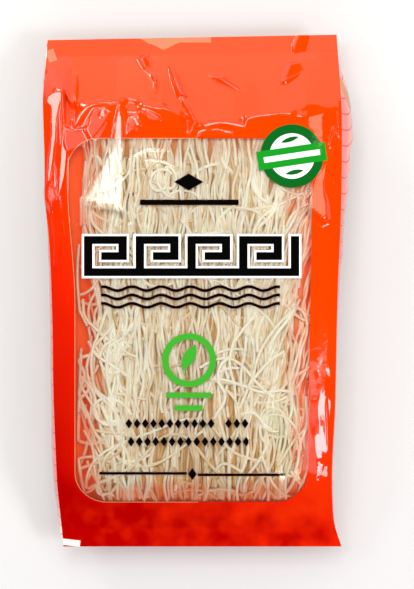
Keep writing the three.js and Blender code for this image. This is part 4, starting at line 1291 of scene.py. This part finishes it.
def beddingBlock(material):
    # what the strands lie on: the block less its outer strands
    shape = beddingShape
    rows, columns = shape["rows"], shape["columns"]
    y = np.linspace(block["top"] - shape["endGap"], block["bottom"] + shape["endGap"], rows)[:, None]
    s = np.linspace(0, 2 * math.pi, columns, endpoint=False)[None, :]
    squareX = np.sign(np.cos(s)) * np.abs(np.cos(s)) ** shape["squareness"]
    squareZ = np.sign(np.sin(s)) * np.abs(np.sin(s)) ** shape["squareness"]
    inset = shape["inset"] + shape["backInset"] * smooth(-0.2, -1.0, squareZ)
    left, right = along(leftFold, y) + inset, along(rightFold, y) - inset
    x = (left + right) / 2 + (right - left) / 2 * squareX
    yy = y + np.zeros_like(x)
    shoulder = shape["shoulder"] * (smooth(-54, -62, x) + smooth(60, 68, x))
    ripple = shape["ripple"] * np.sin(x * 1.7 + np.sin(yy / 9))
    roof = frontHeight(x, yy, False) - shape["below"] - shoulder + ripple
    z = shape["floor"] + (roof - shape["floor"]) * (0.5 + 0.5 * squareZ)
    points = np.stack([x, yy, z], -1).reshape(-1, 3)
    faces = []
    for row in range(rows - 1):
        for i in range(columns):
            a, b = row * columns + i, row * columns + (i + 1) % columns
            faces.append((a, b, b + columns, a + columns))
    faces.append(tuple(range(columns))[::-1])
    faces.append(tuple((rows - 1) * columns + i for i in range(columns)))
    return meshObject("noodleBedding", points, faces, material)


filmPrinted = printedFilm()
filmClear = plainClearFilm()
filmBack = backFilm()
filmPleat = flapFilm()
noodle = riceNoodle()
bedding = noodleBedding()
print("materials made")

film = [frontPanel(filmPrinted), backPanel(filmBack),
        sidePanel("bagLeftSideFilm", filmClear, leftFold, leftSide, -1),
        sidePanel("bagRightSideFilm", filmClear, rightFold, rightSide, 1),
        innerPleat("bagLeftPleat", filmPleat, leftFold, -1, pleat["left"]),
        innerPleat("bagRightPleat", filmPleat, rightFold, 1, pleat["right"])]
print("film made")

rng = np.random.default_rng(block["seed"])
tree = sweepTree()
noodles = [sweptNoodles(layer["name"], strandPaths(rng, layer), layer["sides"], tree, noodle)
           for layer in noodleLayers]
noodles.append(sweptNoodles("noodlesLoose", loosePaths(rng) + laidPaths(rng), looseNoodles["sides"],
                            tree, noodle))
noodles.append(sweptNoodles("noodlesSide", sidePaths(rng), sideNoodles["sides"], tree, noodle))
noodles.append(beddingBlock(bedding))
print("noodles made")

for piece in film + noodles:
    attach(piece, "root")
for piece in film + noodles:
    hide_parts("bag")

studio = {
    "floorColour": "C3C5C7",
    "floorSize": 4000,
    "floorHeight": -0.1,         # just below what lies on it
    # softboxes overhead that the film mirrors, each facing down: X, Y, width, depth, radiance, colour
    "overheadHeight": 1200,
    "overhead": {
        "keyBox": (-308, 272, 88, 295, 15.5, "FFFEFC"),
        "keyEdge": (-396, 235, 88, 220, 12.0, "FFFEFC"),
        "paleBox": (-195, 350, 270, 150, 2.0, "FFFDF8"),
        "leftBox": (-600, 300, 200, 200, 5.0, "FFFDF8"),
        "farLeftBox": (-1155, 250, 210, 320, 14.0, "FFFDF8"),
        "farLeftDim": (-1155, 620, 230, 340, 6.0, "FFF6F0"),
        "rightBox": (620, 310, 220, 260, 5.5, "FFE8C8"),
        "farRightStrip": (1080, -296, 560, 247, 19.0, "FFF4F6"),
        "farRightNotch": (885, -147, 170, 50, 19.0, "FFF4F6"),
        "farRightFoot": (1160, -585, 590, 326, 12.0, "FFF4F6"),
        "farRightBlob": (930, -115, 740, 38, 3.5, "FFF4EC"),
        "rightGlow": (690, -300, 200, 250, 1.9, "FFF4F0"),
        "rightStrip": (480, -235, 200, 190, 3.0, "FFFDF8"),
        "rimLeftStrip": (-130, 630, 260, 260, 13.0, "FFFDF8"),
        "rimRightStrip": (125, 630, 130, 260, 11.0, "FFFDF8"),
    },
    # softboxes beside the bag: place, size, where each points, radiance, colour
    "walls": {
        "farWallLeft": ((-440, 1500, 1050), (640, 2100), (-440, 0, 1050), 1.45, "FFF0D6"),
        "farWall": ((30, 1500, 1050), (300, 2100), (30, 0, 1050), 1.75, "FFF0D6"),
        "farWallBeside": ((305, 1500, 1050), (250, 2100), (305, 0, 1050), 1.55, "FFF0D6"),
        "farWallGap": ((495, 1500, 775), (130, 650), (495, 0, 775), 1.55, "FFF0D6"),
        "farWallRight": ((960, 1500, 600), (800, 1200), (960, 0, 600), 1.55, "FFF0D6"),
        "sideWall": ((-975, 1450, 550), (350, 700), (0, 0, 30), 18.0, "FFFDF8"),
    },
    # a fill for the bottom slope that the film doesn't mirror, in the same order
    "fill": ((0, -1300, 700), (1200, 700), (0, -100, 30), 2.4, "FFFDF8"),
    "sky": 0.72,                 # even light from all round that the film doesn't mirror
}
camera = {
    "height": 1100.0,
    "x": 5.04,
    "y": -2.24,
    "scaleHeight": 22.0,     # height above the floor at which a picture row is scaleMm high
    "scaleMm": 0.56,
    "rows": 589,
    "sensor": 36.0,
}


def floorMaterial():
    # painted board: plain, pale and matt
    material, tree = newMaterial("paintedBoard")
    coordinates = addNode(tree, "ShaderNodeTexCoord")
    grain = addNode(tree, "ShaderNodeTexNoise", {"Vector": coordinates.outputs["Object"], "Scale": 300.0})
    bump = addNode(tree, "ShaderNodeBump", {"Height": grain, "Strength": 0.1, "Distance": 0.0002})
    shader = addNode(tree, "ShaderNodeBsdfPrincipled",
                     {"Base Color": linearColour(studio["floorColour"]), "Roughness": 0.7, "Normal": bump})
    addNode(tree, "ShaderNodeOutputMaterial", {0: shader})
    return material


half, floorHeight = studio["floorSize"] / 2, studio["floorHeight"]
corners = [(x * half, y * half, floorHeight) for x, y in ((-1, -1), (1, -1), (1, 1), (-1, 1))]
floor = meshObject("floorBoard", corners, [(0, 1, 2, 3)], floorMaterial())


def softBox(name, place, size, target, radiance, colour):
    lamp = bpy.data.lights.new(name, "AREA")
    lamp.shape = "RECTANGLE"
    lamp.size, lamp.size_y = size[0] * mm, size[1] * mm
    lamp.energy = radiance * math.pi * lamp.size * lamp.size_y
    lamp.color = linearColour(colour)[:3]
    lampObject = bpy.data.objects.new(name, lamp)
    bpy.context.scene.collection.objects.link(lampObject)
    aim = mathutils.Vector([t - p for t, p in zip(target, place)])
    lampObject.rotation_euler = aim.to_track_quat("-Z", "Y").to_euler()
    lampObject.location = [c * mm for c in place]
    lampObject.visible_camera = False
    return lampObject


for name, (x, y, width, depth, radiance, colour) in studio["overhead"].items():
    softBox(name, (x, y, studio["overheadHeight"]), (width, depth), (x, y, 0), radiance, colour)
for name, values in studio["walls"].items():
    softBox(name, *values)
softBox("fillBox", *studio["fill"]).visible_glossy = False

world = bpy.data.worlds.new("softSky")
bpy.context.scene.world = world
world.use_nodes = True
world.node_tree.nodes["Background"].inputs["Color"].default_value = (1, 1, 1, 1)
world.node_tree.nodes["Background"].inputs["Strength"].default_value = studio["sky"]
world.cycles_visibility.glossy = False
bpy.context.scene.view_settings.view_transform = "Standard"

lens = bpy.data.cameras.new("topCamera")
lens.sensor_fit = "VERTICAL"
lens.sensor_height = camera["sensor"]
rowsPerMm = 1 / camera["scaleMm"]
focalRows = (camera["height"] - camera["scaleHeight"]) * rowsPerMm
lens.lens = focalRows * camera["sensor"] / camera["rows"]
lens.clip_start = 0.05
cameraObject = bpy.data.objects.new("topCamera", lens)
cameraObject.location = (camera["x"] * mm, camera["y"] * mm, camera["height"] * mm)
bpy.context.scene.collection.objects.link(cameraObject)
bpy.context.scene.camera = cameraObject
print("studio made")
